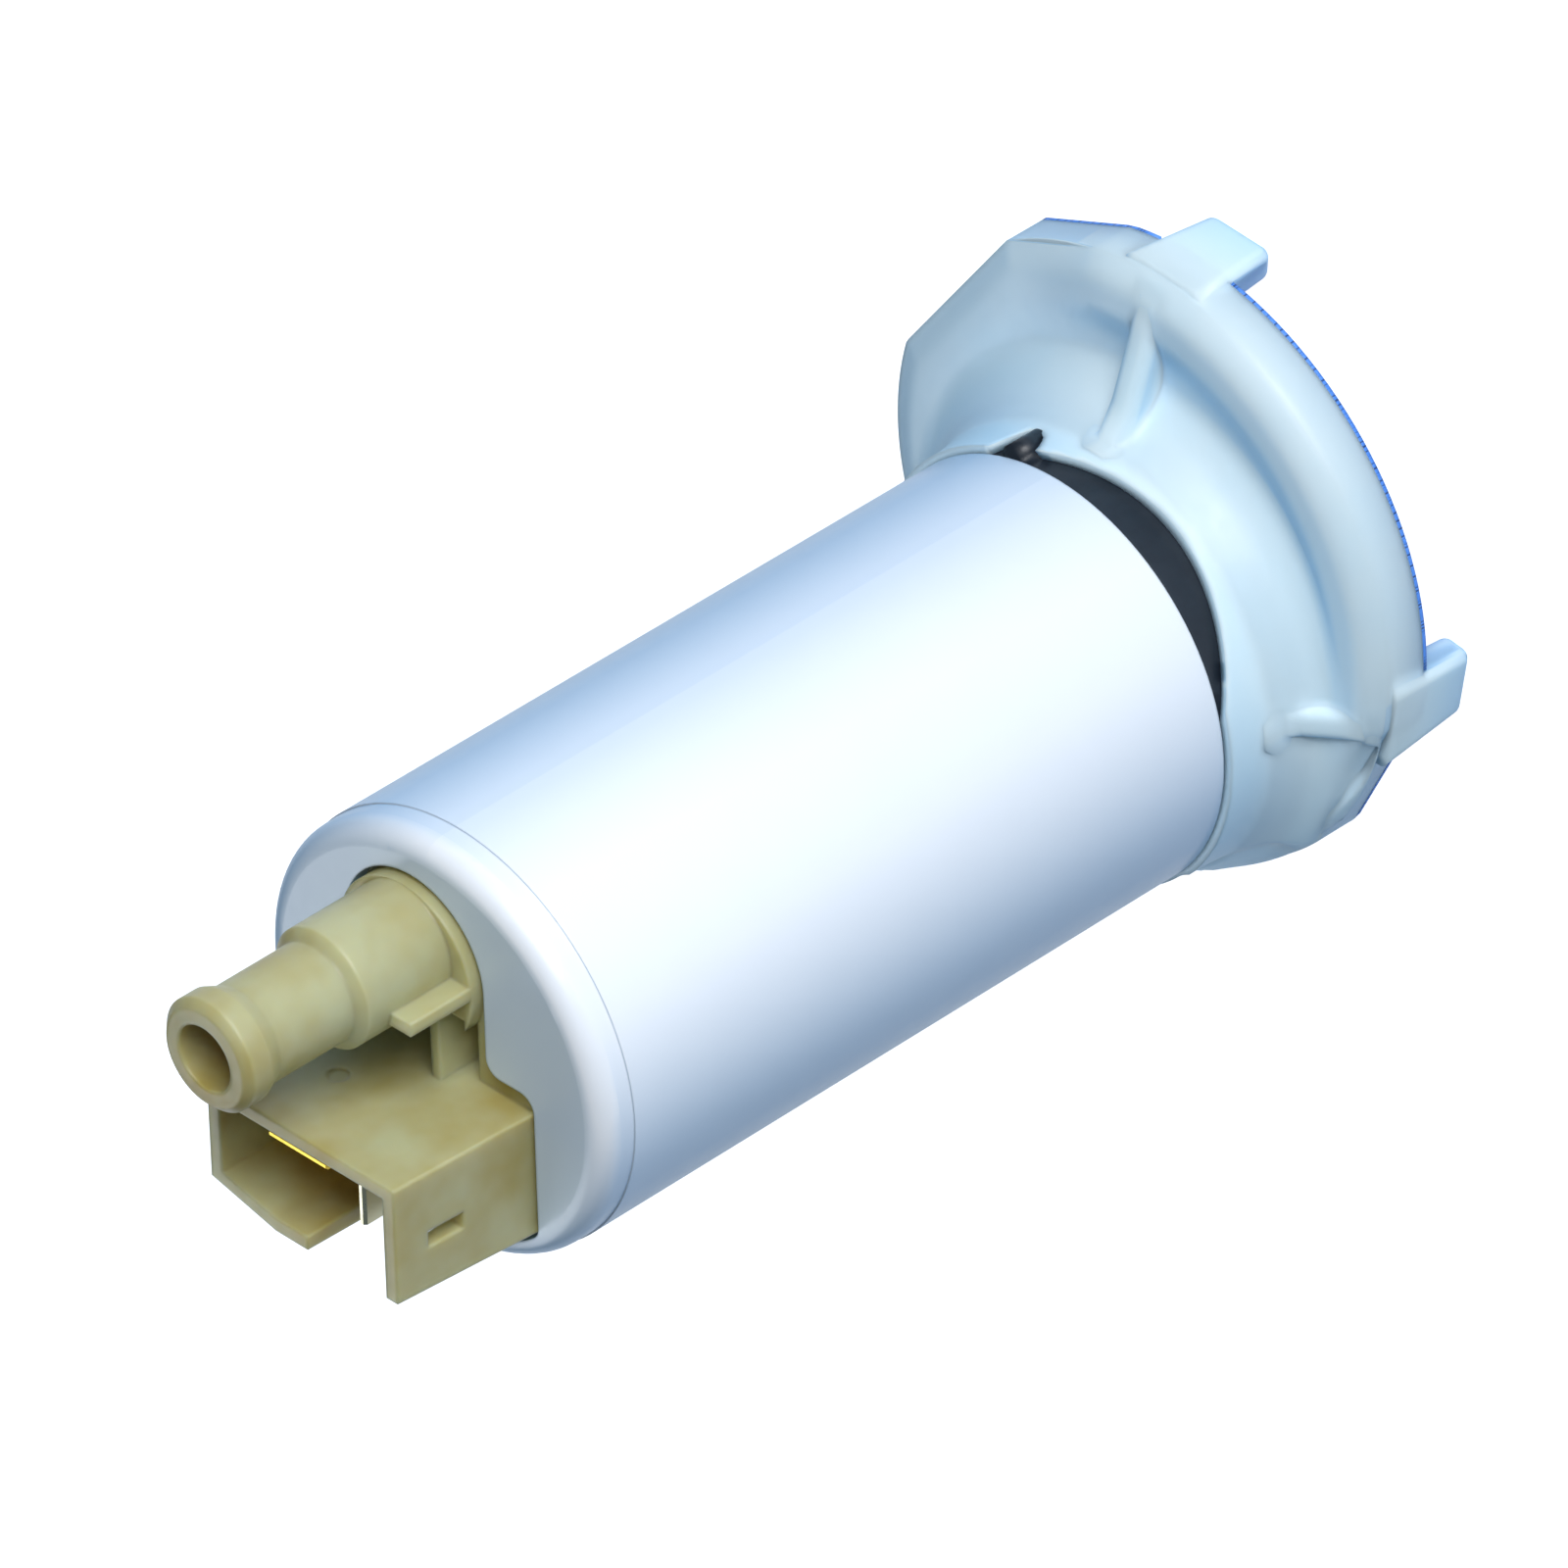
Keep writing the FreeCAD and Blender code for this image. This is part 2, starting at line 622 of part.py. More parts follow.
def make_nipple():
    """Outlet boss, tube and hose bead as one turned solid about the outlet axis."""
    tip = FACE + S["tip_top"]
    boss = FACE + S["boss_top"]
    tube_r, bead = S["tube_r"], S["bead_r"]
    bead_top = tip - 0.7
    body = turned("nipple", [
        (0, S["casing_top"]), (S["boss_r"], S["casing_top"]), (S["boss_r"], boss - 0.8),
        (tube_r, boss), (tube_r, bead_top - S["bead_len"] - S["bead_ramp"]),
        (bead, bead_top - S["bead_len"]), (bead, bead_top), (bead - 0.7, tip), (0, tip)])
    place(body, S["nipple_x"], S["nipple_y"], 0)
    return body


def shell_corner(name, far, inset):
    """Tapered block beyond the shell's slanted far side, which is cut away."""
    low, high = FACE - S["recess_deep"], FACE + S["shell_top"] + 1
    body = new_body(name)
    x, y = far + inset, S["shell_left"] + S["shell_draft"]
    pad(body, name + "_pad", [(x - 0.4, 1.8), (x + 1.9, y), (x - 6, y), (x - 6, 1.8)], high - low)
    place(body, 0, 0, low)
    return body


def make_connector_shell():
    """Connector shell, wider at its foot, with a slanted far side, a slot and a latch window."""
    low, top = FACE - S["recess_deep"], FACE + S["shell_top"]
    wall, draft = S["shell_wall"], S["shell_draft"]
    left, right, far, back = S["shell_left"], S["shell_right"], S["shell_far"], S["shell_x"]
    outside = wedge("shell_outside", (far - draft * 0.6, back + 0.15, right - draft, left + 0.2),
                    (far, back, right, left), low, top)
    trimmed = cut("shell_trimmed", outside, [shell_corner("far_slant", far, 0)])
    floor = FACE - 1.0
    cavity = box("cavity_box", far + wall, back - wall, right + wall, left - wall, floor, top + 1)
    inside = cut("cavity", cavity, [shell_corner("inner_slant", far, wall)])
    slot = box("slot", far - 3, far + wall + 1, right + wall, S["slot_y"], floor, top + 1)
    sill = FACE + S["window_low"]
    half = S["window_wide"] / 2
    window = box("latch_window", S["window_x"] - half, S["window_x"] + half, right - 2,
                 right + wall + 0.5, sill, sill + S["window_high"])
    mark = cylinder("mould_mark", S["mark_r"], 0, 1)
    mark.Placement = FreeCAD.Placement(vec(0, 0, 0), FreeCAD.Rotation(vec(0, 1, 0), 90))
    place(mark, back - S["mark_deep"], S["mark_y"], FACE + S["mark_z"])
    return cut("connector_shell", trimmed, [inside, slot, window, mark])


def make_end_cap(terminals, holes):
    """Moulded end cap with outlet, valve chamber, connector shell and all its seats."""
    low, top = S["plug_low"], S["casing_top"]
    under_face = FACE - S["face_thick"]
    groove_low = S["cap_seal_z"] - S["seal_r"]
    groove_top = S["cap_seal_z"] + S["seal_r"]
    groove_r = CASING_IN - S["seal_r"] * 2
    neck, neck_r = top - S["lip_thick"], S["lip_r"] - S["casing_fit"]
    plug = turned("cap_plug", [
        (0, low), (INSERT_R, low), (INSERT_R, groove_low), (groove_r, groove_low),
        (groove_r, groove_top), (INSERT_R, groove_top), (INSERT_R, neck), (neck_r, neck),
        (neck_r, top), (CASING_R, top), (CASING_R, under_face), (0, under_face)])
    gap = S["keyhole_gap"]
    platform = keyhole("platform", gap, under_face - 1, FACE - 0.5)
    lobe_top = FACE + S["lobe_proud"]
    lobe = cylinder("cap_lobe", S["lobe_r"] - gap, under_face, lobe_top, S["lobe_x"],
                    S["lobe_y"])
    fin_half = S["fin_thick"] / 2
    fin = box("side_fin", S["fin_x"] - fin_half, S["fin_x"] + fin_half, -S["fin_reach"], -1.0,
              FACE - S["recess_deep"], FACE + S["fin_top"])
    web_half = S["web_thick"] / 2
    web = box("web", S["shell_x"] - 0.5, S["nipple_x"] - 3, S["web_y"] - web_half,
              S["web_y"] + web_half, FACE - S["recess_deep"], FACE + 1.6)
    side = S["lobe_r"] - gap - 0.9
    recess = box("recess", S["shell_x"], S["lobe_x"] - 2.5, S["lobe_y"] - side,
                 S["lobe_y"] + side, FACE - S["recess_deep"], lobe_top + 1)
    base = cut("cap_base", fuse("cap_blocks", [plug, platform, lobe]), [recess])
    solid = fuse("cap_solid", [base, make_nipple(), fin, web, make_connector_shell()])
    outlet = S["nipple_x"], S["nipple_y"]
    bore = cylinder("nipple_bore", S["nipple_bore"], low, FACE + S["tip_top"] + 1, *outlet)
    chamber = cylinder("valve_chamber", S["valve_bore"], low, FACE + S["valve_top"], *outlet)
    seat_top = S["upper_bearing_low"] + S["bearing_len"]
    seat = cylinder("bearing_seat", S["bearing_r"], low, seat_top)
    relief = cylinder("shaft_relief", S["shaft_r"] + 0.6, seat_top, seat_top + 1)
    cuts = [bore, chamber, seat, relief] + holes + terminals
    return cut("end_cap", solid, cuts)


def make_check_valve():
    """Valve seat, valve disc with stem and side channels, and its spring."""
    x, y = S["nipple_x"], S["nipple_y"]
    seat = tube("valve_seat", S["valve_bore"], S["seat_hole"], S["seat_low"], S["seat_top"], x, y)
    low = S["seat_top"]
    shoulder = low + S["poppet_thick"]
    body = turned("valve_blank", [
        (0, low), (S["poppet_r"] - 0.5, low), (S["poppet_r"], low + 0.5), (S["poppet_r"], shoulder),
        (S["stem_r"], shoulder), (S["stem_r"] - 0.4, shoulder + S["stem_len"]),
        (0, shoulder + S["stem_len"])])
    place(body, x, y, 0)
    reach = S["poppet_r"] + 1
    foot, lip = low + 0.6, shoulder + 0.1
    channels = [
        box("valve_channel_x", x - reach, x + reach, y - 0.5, y + 0.5, foot, lip),
        box("valve_channel_y", x - 0.5, x + 0.5, y - reach, y + reach, foot, lip)]
    hub = cylinder("valve_hub", S["poppet_r"] - 0.9, low, shoulder + 1, x, y)
    slots = cut("valve_slots", fuse("valve_channels", channels), [hub])
    return {
        "valve_seat": seat,
        "check_valve": cut("check_valve", body, [slots]),
        "check_spring": spring("check_spring", S["check_spring_r"], S["check_wire_r"], shoulder,
                               FACE + S["valve_top"], 4, x, y),
    }


def make_armature():
    """Slotted core and the windings that fill its slots."""
    low, high = S["core_low"], S["core_low"] + S["core_len"]
    half, inner, outer = S["slot_wide"] / 2, S["slot_floor"], S["winding_r"]
    core = new_body("armature_core")
    revolve(core, "core_disc", [(S["shaft_r"], low), (S["core_r"], low), (S["core_r"], high),
                                (S["shaft_r"], high)])
    slot = pocket(core, "core_slot", rectangle(inner, S["core_r"] + 1, -half, half))
    around(core, "core_slots", slot, ARMATURE_SLOTS)
    end, hub = S["end_turns"], inner - 2.4
    windings = new_body("armature_windings")
    foot = low - end
    revolve(windings, "lower_turns", [
        (hub, foot + 0.7), (hub + 0.7, foot), (outer - 1.2, foot), (outer, foot + 1.2),
        (outer, low - 0.6), (outer - 0.5, low), (hub, low)])
    bar = pad(windings, "slot_bar", rectangle(inner, outer - 0.5, -half, half), high - low, lift=low)
    around(windings, "slot_bars", bar, ARMATURE_SLOTS)
    top = high + end
    revolve(windings, "upper_turns", [
        (hub, high), (outer - 0.5, high), (outer, high + 0.6), (outer, top - 1.2),
        (outer - 1.2, top), (hub + 0.7, top), (hub, top - 0.7)])
    return {"armature_core": core, "armature_windings": windings}


def make_commutator():
    """Copper disc with slits in its running face and a hub around the shaft."""
    low, top = S["commutator_low"], S["commutator_top"]
    shaft_r = S["shaft_r"]
    body = new_body("commutator")
    revolve(body, "commutator_disc", [
        (shaft_r, low - 1.6), (shaft_r + 2.2, low - 1.6), (shaft_r + 2.2, low),
        (S["commutator_r"] - 0.4, low), (S["commutator_r"], low + 0.4), (S["commutator_r"], top),
        (shaft_r + 2, top), (shaft_r + 2, top - 1), (shaft_r, top - 1)])
    half = S["slit_wide"] / 2
    slit = sink(body, "commutator_slit", rectangle(shaft_r + 2.6, S["commutator_r"] + 1, -half, half),
                1.6, top)
    around(body, "commutator_slits", slit, ARMATURE_SLOTS)
    return body


def make_shaft():
    """Shaft with chamfered ends."""
    low, top, radius = S["shaft_low"], S["shaft_top"], S["shaft_r"]
    return turned("shaft", [(0, low), (radius - 0.4, low), (radius, low + 0.4), (radius, top - 0.4),
                            (radius - 0.4, top), (0, top)])


def make_bearings():
    """Bearing bushes with the running gap, the thrust washer and the thrust pin."""
    bore = S["shaft_r"] + S["run_gap"]
    upper, lower = S["upper_bearing_low"], S["housing_top"] - S["bearing_len"]
    washer_top = upper - S["washer_gap"]
    return {
        "upper_bearing": tube("upper_bearing", S["bearing_r"], bore, upper, upper + S["bearing_len"]),
        "lower_bearing": tube("lower_bearing", S["bearing_r"], bore, lower, S["housing_top"]),
        "thrust_washer": tube("thrust_washer", S["washer_r"], S["shaft_r"],
                              washer_top - S["washer_thick"], washer_top),
        "thrust_pin": cylinder("thrust_pin", S["shaft_r"], S["shaft_low"] - 1.15, S["shaft_low"] - 0.05),
    }


def make_magnets():
    """Two magnets against the casing and the two clips that keep them apart."""
    inner, outer = S["core_r"] + S["air_gap"], CASING_IN
    low, high = S["magnet_low"], S["magnet_low"] + S["magnet_len"]
    middle = low + S["magnet_len"] / 2
    angle = S["magnet_turn"]
    free = -(angle - 180)
    made = {}
    for letter, start in (("a", 0), ("b", 180)):
        made["magnet_" + letter] = turned(
            "magnet_" + letter, [(inner, low), (outer, low), (outer, high), (inner, high)], angle)
        turn(made["magnet_" + letter], -(angle / 2) + start)
        clip = turned("magnet_clip_" + letter, [
            (outer - S["clip_thick"], middle - S["clip_len"] / 2),
            (outer, middle - S["clip_len"] / 2), (outer, middle + S["clip_len"] / 2),
            (outer - S["clip_thick"], middle + S["clip_len"] / 2)], free)
        turn(clip, angle / 2 + start)
        made["magnet_clip_" + letter] = clip
    return made


def make_impeller():
    """Impeller with vane pockets around its edge."""
    low = S["split_z"] + S["impeller_play"]
    high = low + S["impeller_thick"]
    body = new_body("impeller")
    revolve(body, "impeller_disc", [(S["shaft_r"], low), (S["impeller_r"], low),
                                    (S["impeller_r"], high), (S["shaft_r"], high)])
    half = S["vane_wide"] / 2
    edge = S["impeller_r"]
    vane = pocket(body, "vane", rectangle(edge - S["vane_deep"], edge + 1, -half, half))
    around(body, "vanes", vane, VANES)
    return body


def make_pump_housing():
    """Upper half of the pump section, with bearing seat, flow channel and outlet port."""
    ceiling = S["split_z"] + S["impeller_play"] * 2 + S["impeller_thick"]
    chamber = S["impeller_r"] + S["impeller_side"]
    deep = ceiling + S["channel_deep"]
    groove_r = CASING_IN - S["seal_r"] * 2
    groove_low, groove_top = S["pump_seal_z"] - S["seal_r"], S["pump_seal_z"] + S["seal_r"]
    top = S["housing_top"]
    seat = top - S["bearing_len"]
    hole = S["shaft_r"] + 0.5
    body = turned("housing_blank", [
        (hole, ceiling), (S["channel_in"], ceiling), (S["channel_in"], deep), (chamber, deep),
        (chamber, S["split_z"]), (INSERT_R, S["split_z"]), (INSERT_R, groove_low),
        (groove_r, groove_low), (groove_r, groove_top), (INSERT_R, groove_top), (INSERT_R, top),
        (S["bearing_r"], top), (S["bearing_r"], seat), (hole, seat)])
    port = cylinder("outlet_port", S["port_r"], ceiling, top + 1, S["port_x"])
    return cut("pump_housing", body, [port])


def make_pump_cover():
    """Lower half of the pump section, with inlet stub, relief valve boss and thrust pin seat."""
    low = S["casing_low"] + S["lip_thick"]
    top = S["split_z"]
    chamber = S["impeller_r"] + S["impeller_side"]
    deep = top - S["channel_deep"]
    pin_r, pin_top = S["shaft_r"], S["shaft_low"] - 0.05
    disc = turned("cover_disc", [
        (0, low), (INSERT_R, low), (INSERT_R, top), (chamber, top), (chamber, deep),
        (S["channel_in"], deep), (S["channel_in"], top), (pin_r + 0.5, top),
        (pin_r + 0.5, pin_top), (pin_r, pin_top), (pin_r, pin_top - 1.1), (0, pin_top - 1.1)])
    stub = cylinder("inlet_stub", S["inlet_r"], S["inlet_low"], low + 0.5, S["inlet_x"])
    boss = cylinder("relief_boss", S["relief_out"], S["relief_low"], low + 0.5, S["relief_x"])
    solid = fuse("cover_solid", [disc, stub, boss])
    cuts = [
        cylinder("inlet_bore", S["inlet_bore"], S["inlet_low"] - 1, top + 1, S["inlet_x"]),
        cylinder("relief_bore", S["relief_bore"], S["relief_low"] - 1, S["relief_seat"], S["relief_x"]),
        cylinder("relief_hole", S["relief_hole"], S["relief_seat"] - 0.5, top + 1, S["relief_x"]),
    ]
    return cut("pump_cover", solid, cuts)


def make_relief_valve():
    """Ball under its seat, spring and plug with a drain hole."""
    x = S["relief_x"]
    drop = root(S["ball_r"] * S["ball_r"] - S["relief_hole"] * S["relief_hole"])
    middle = S["relief_seat"] - drop - 0.02
    ball = doc.addObject("Part::Sphere", "relief_ball")
    bind(ball, Radius=S["ball_r"])
    place(ball, x, 0, middle)
    plug_top = S["relief_low"] + S["plug_len"]
    wire = S["relief_wire_r"]
    return {
        "relief_ball": ball,
        "relief_plug": tube("relief_plug", S["relief_bore"], 0.6, S["relief_low"], plug_top, x),
        "relief_spring": spring("relief_spring", 1.1, wire, plug_top, middle - 1.27 + wire, 5, x),
    }


def make_seals():
    """Sealing rings of the end cap and of the pump section."""
    made = {}
    for name, height in (("cap_seal", S["cap_seal_z"]), ("pump_seal", S["pump_seal_z"])):
        ring = doc.addObject("Part::Torus", name)
        bind(ring, Radius1=CASING_IN - S["seal_r"], Radius2=S["seal_r"])
        place(ring, 0, 0, height)
        made[name] = ring
    return made


def make_isolator_ring():
    """Rubber ring under the sleeve, around the casing's end, with round lugs."""
    low, high, inner = S["rubber_low"], S["casing_low"], S["hub_hole"] + 0.5
    body = turned("isolator_blank", [
        (inner, low), (S["rubber_r"], low), (S["rubber_r"], 0), (CASING_R, 0), (CASING_R, high),
        (inner, high)])
    lugs = []
    for i in range(LUGS):
        angle = math.radians(number(S["lug_turn"]) + 360.0 * i / LUGS)
        reach = S["rubber_r"]
        lugs.append(cylinder("lug_%d" % i, S["lug_r"], S["collar_top"] + 0.05, -0.5,
                             reach * math.cos(angle), reach * math.sin(angle)))
    return fuse("isolator_ring", [body] + lugs)


def flat_block(name, inset, low, high):
    """Block beyond the cup's flat, moved inwards by inset."""
    edge = S["cup_r"] - S["flat_deep"] - inset
    block = box(name, edge, S["cup_r"] + 5, -S["cup_r"], S["cup_r"], low, high)
    holder = doc.addObject("Part::MultiFuse", name + "_turned")
    holder.Shapes = [block, box(name + "_far", S["cup_r"] + 4, S["cup_r"] + 6, -1, 1, low, high)]
    turn(holder, S["flat_turn"], S["cup_x"])
    return holder


def foot_block(name, angle, low, high, grow=0):
    """Tapered foot at an angle around the cup's centre."""
    outer = S["cup_r"] + S["foot_proud"] + grow
    inner = S["cup_r"] + S["foot_proud"] - S["foot_thick"] - grow
    tip, wide = S["foot_tip"] / 2 + grow, S["foot_wide"] / 2 + grow
    block = wedge(name, (inner, outer - 0.3, -tip, tip), (inner, outer, -wide, wide), low, high)
    upright = FreeCAD.Rotation(vec(0, 0, 1), angle).multiply(FreeCAD.Rotation(vec(1, 0, 0), 90))
    block.Placement = FreeCAD.Placement(vec(0, 0, 0), upright)
    place(block, S["cup_x"], 0, 0)
    return block


def make_rib(name, angle):
    """Gusset from the collar to the shoulder above the foot at that angle."""
    reach = S["cup_r"] - 1.2
    x = S["cup_x"] + reach * math.cos(math.radians(angle))
    y = reach * math.sin(math.radians(angle))
    far = root(x * x + y * y)
    base = S["shoulder_z"] - S["dish_deep"] - 0.5
    body = new_body(name + "_blank")
    start = COLLAR_R - 0.6
    pad(body, name + "_pad", [
        (start, base), (far, base), (far, S["shoulder_z"] + 0.1),
        (far - (far - start) * 0.25, S["shoulder_z"] + 0.9),
        (start + (far - start) * 0.3, S["collar_top"] - 2.6), (start, S["collar_top"] - 0.6)],
        S["rib_thick"], role="XZ_Plane", both_sides=True)
    turn(body, Size(math.degrees(math.atan2(y.value, x.value)), "atan2(%s; %s)" % (y.text, x.text)))
    limit = number(base) + 0.2
    top = lambda edge: edge.CenterOfMass.z > limit and edge.BoundBox.ZMin > limit - 0.1 \
        and abs(edge.tangentAt(edge.FirstParameter).z) < 0.95 \
        and along(edge, angle_of(x, y))
    soft = min(number(S["rib_round"]), 0.15 * (number(far) - number(start)))
    return rounded(name, body, soft, top)


def angle_of(x, y):
    """Direction of a point seen from the motor axis, radians."""
    return math.atan2(number(y), number(x))


def along(edge, angle):
    """True for an edge that lies in the upright plane at that angle."""
    way = edge.tangentAt(edge.FirstParameter)
    return abs(way.x * math.sin(angle) - way.y * math.cos(angle)) < 0.05


def root(size):
    """Square root of a size."""
    return Size(math.sqrt(size.value), "sqrt(" + size.text + ")")


def make_base_cup():
    """Off-centre strainer cup with collar, flat, ribs and feet. Returns the cup and its feet."""
    centre = S["cup_x"]
    shoulder, rim, wall = S["shoulder_z"], S["cup_rim"], S["cup_wall"]
    dish = shoulder - S["dish_deep"]
    under = dish - wall
    inner_edge = S["cup_r"] - S["shoulder_wide"]
    disc = turned("cup_disc", [
        (0, rim), (S["cup_r"], rim), (S["cup_r"], shoulder), (inner_edge, shoulder),
        (inner_edge - S["dish_slope"], dish), (0, dish)])
    place(disc, centre, 0, 0)
    flatted = cut("cup_flatted", disc, [flat_block("outer_flat", 0, rim - 1, shoulder + 1)])
    height = number(shoulder)
    limit = number(inner_edge) + 0.5
    middle = vec(number(centre), 0, height)
    outer_top = lambda edge: abs(edge.BoundBox.ZMin - height) < 1e-3 \
        and abs(edge.BoundBox.ZMax - height) < 1e-3 \
        and edge.Vertexes[0].Point.distanceToPoint(middle) > limit
    soft = rounded("cup_soft", flatted, number(S["shoulder_round"]), outer_top)
    cavity = cut("cup_cavity",
                 cylinder("cavity_blank", S["cup_r"] - wall, rim - 1, under, centre),
                 [flat_block("inner_flat", wall, rim - 2, under + 1)])
    hub = cylinder("hub_clearance", S["rubber_r"] + 0.8, under, shoulder + 1)
    shell = cut("cup_shell", soft, [cavity, hub])
    foot = S["collar_foot"]
    collar = turned("collar_blank", [
        (S["hub_hole"], S["rubber_low"]), (S["rubber_r"], S["rubber_low"]),
        (S["rubber_r"], S["collar_top"]), (COLLAR_R, S["collar_top"]),
        (COLLAR_R + 0.6, S["collar_top"] - 2.4), (COLLAR_R + 1.5, dish + 1.8),
        (foot - 1.4, dish + 0.5), (foot, dish), (foot, under), (S["rubber_r"] + 0.3, under),
        (S["rubber_r"] - 0.6, S["rubber_low"] - wall), (S["hub_hole"], S["rubber_low"] - wall)])
    edge = cylinder("collar_limit", S["cup_r"], rim, 0, centre)
    pieces = [shell, common("collar", collar, edge)]
    feet = []
    for i, angle in enumerate(FOOT_TURNS):
        block = foot_block("foot_%d_sharp" % i, angle, S["foot_low"], shoulder - 1.8)
        low = number(S["foot_low"])
        tips = lambda edge: edge.CenterOfMass.z < low + 1e-3 or \
            abs(edge.tangentAt(edge.FirstParameter).z) > 0.9
        pieces.append(rounded("foot_%d" % i, block, number(S["foot_round"]), tips))
        pieces.append(make_rib("rib_%d" % i, angle))
        feet.append(foot_block("foot_space_%d" % i, angle, rim - 2, rim + 1, 0.1))
    half = S["mesh_rib"] / 2
    reach = S["cup_r"] - S["flat_deep"] - wall * 0.5
    for i in range(5):
        carrier = box("carrier_%d_blank" % i, S["mesh_rib_in"], reach, -half, half, rim,
                      under + 0.5)
        root_in = S["mesh_root_in"]
        holder = fuse("carrier_%d" % i, [
            carrier, box("carrier_%d_root" % i, root_in, root_in + S["mesh_root_len"], -half,
                         half, under, under + 0.5)])
        turn(holder, -90.0 + 45.0 * i, centre)
        pieces.append(holder)
    return fuse("base_cup", pieces), feet


def make_strainer_mesh(feet):
    """Filter mesh under the rim, with notches for the feet."""
    low, high = S["cup_rim"] - S["mesh_thick"], S["cup_rim"]
    disc = cylinder("mesh_disc", S["cup_r"] - S["mesh_inset"], low, high, S["cup_x"])
    flat = flat_block("mesh_flat", S["mesh_inset"], low - 1, high + 1)
    return cut("strainer_mesh", disc, [flat] + feet)


def make_everything():
    """All nodes by name."""
    nodes = {"sleeve": make_sleeve(), "motor_casing": make_motor_casing()}
    brushes, brush_holes = make_brushes()
    chokes, choke_holes = make_chokes()
    terminals = make_terminals()
    nodes["end_cap"] = make_end_cap(list(terminals.values()), brush_holes + choke_holes)
    for group in (brushes, chokes, terminals, make_check_valve(), make_armature(),
                  make_bearings(), make_magnets(), make_relief_valve(), make_seals()):
        nodes.update(group)
    nodes["commutator"] = make_commutator()
    nodes["shaft"] = make_shaft()
    nodes["impeller"] = make_impeller()
    nodes["pump_housing"] = make_pump_housing()
    nodes["pump_cover"] = make_pump_cover()
    nodes["isolator_ring"] = make_isolator_ring()
    nodes["base_cup"], feet = make_base_cup()
    nodes["strainer_mesh"] = make_strainer_mesh(feet)
    return nodes


def check_and_write(nodes):
    """Stop at any failed object or bad shape, then write one file per node."""
    doc.recompute()
    for thing in doc.Objects:
        bad = [word for word in thing.State if word in ("Invalid", "Error")]
        if bad:
            raise RuntimeError("%s is %s" % (thing.Name, ", ".join(bad)))
    for name, thing in nodes.items():
        thing.Label = name
        shape = thing.Shape
        if shape.isNull() or not shape.isValid() or len(shape.Solids) != 1:
            raise RuntimeError("%s has %d solids, valid: %s" % (
                name, len(shape.Solids), not shape.isNull() and shape.isValid()))
        print("%-20s %10.2f mm3  z %8.3f to %8.3f" % (
            name, shape.Volume, shape.BoundBox.ZMin, shape.BoundBox.ZMax))
    for name, thing in nodes.items():
        thing.Shape.exportStep("parts/" + name + ".step")


check_and_write(make_everything())
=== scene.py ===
import json
import math as plain_math
import bmesh
import bpy
from mathutils import Matrix, Vector

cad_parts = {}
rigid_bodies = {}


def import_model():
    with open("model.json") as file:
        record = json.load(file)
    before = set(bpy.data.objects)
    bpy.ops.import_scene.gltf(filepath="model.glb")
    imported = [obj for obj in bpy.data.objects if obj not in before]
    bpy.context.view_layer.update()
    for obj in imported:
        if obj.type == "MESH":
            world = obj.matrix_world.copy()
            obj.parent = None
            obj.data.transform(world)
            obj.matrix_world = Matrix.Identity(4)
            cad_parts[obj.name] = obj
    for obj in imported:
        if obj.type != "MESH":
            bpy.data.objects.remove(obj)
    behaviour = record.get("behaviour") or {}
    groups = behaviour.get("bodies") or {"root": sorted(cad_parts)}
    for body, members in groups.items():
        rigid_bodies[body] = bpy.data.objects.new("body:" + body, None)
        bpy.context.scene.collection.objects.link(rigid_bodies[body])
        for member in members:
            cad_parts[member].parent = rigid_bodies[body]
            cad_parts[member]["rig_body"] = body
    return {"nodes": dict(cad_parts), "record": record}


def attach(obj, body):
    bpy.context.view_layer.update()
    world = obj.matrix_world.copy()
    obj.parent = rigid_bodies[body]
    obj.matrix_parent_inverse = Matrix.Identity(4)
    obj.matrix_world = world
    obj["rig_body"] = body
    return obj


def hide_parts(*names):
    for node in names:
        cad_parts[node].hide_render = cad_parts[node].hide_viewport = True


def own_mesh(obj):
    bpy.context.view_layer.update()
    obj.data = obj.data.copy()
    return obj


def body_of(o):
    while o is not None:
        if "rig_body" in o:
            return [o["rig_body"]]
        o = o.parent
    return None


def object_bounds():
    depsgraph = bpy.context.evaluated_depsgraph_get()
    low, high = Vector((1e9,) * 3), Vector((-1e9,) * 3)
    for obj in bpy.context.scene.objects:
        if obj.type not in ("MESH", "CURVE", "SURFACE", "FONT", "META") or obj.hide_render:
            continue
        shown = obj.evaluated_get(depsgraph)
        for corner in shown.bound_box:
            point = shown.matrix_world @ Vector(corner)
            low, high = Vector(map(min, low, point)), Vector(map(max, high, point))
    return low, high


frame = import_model()
CAD_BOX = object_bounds()
NODES = frame["nodes"]
SLOTS = {row["node"]: row["material_slot"] for row in frame["record"]["subparts"]}
MM = 0.001
FULL_TURN = 2 * plain_math.pi


# ---------------------------------------------------------------- node helpers
def add(tree, kind, **inputs):
    """Node of a kind with its plain inputs set by name; spaces are written as _."""
    node = tree.nodes.new(kind)
    for name, value in inputs.items():
        node.inputs[name.replace("_", " ")].default_value = value
    return node


def wire(tree, start, end):
    """Link one socket to another."""
    tree.links.new(start, end)


def new_group(name, inputs, outputs):
    """Empty shader group with float, vector or colour sockets."""
    kinds = {"f": "NodeSocketFloat", "v": "NodeSocketVector", "c": "NodeSocketColor"}
    tree = bpy.data.node_groups.new(name, "ShaderNodeTree")
    for way, sockets in (("INPUT", inputs), ("OUTPUT", outputs)):
        for label, kind in sockets:
            tree.interface.new_socket(label, in_out=way, socket_type=kinds[kind])
    return tree, tree.nodes.new("NodeGroupInput"), tree.nodes.new("NodeGroupOutput")


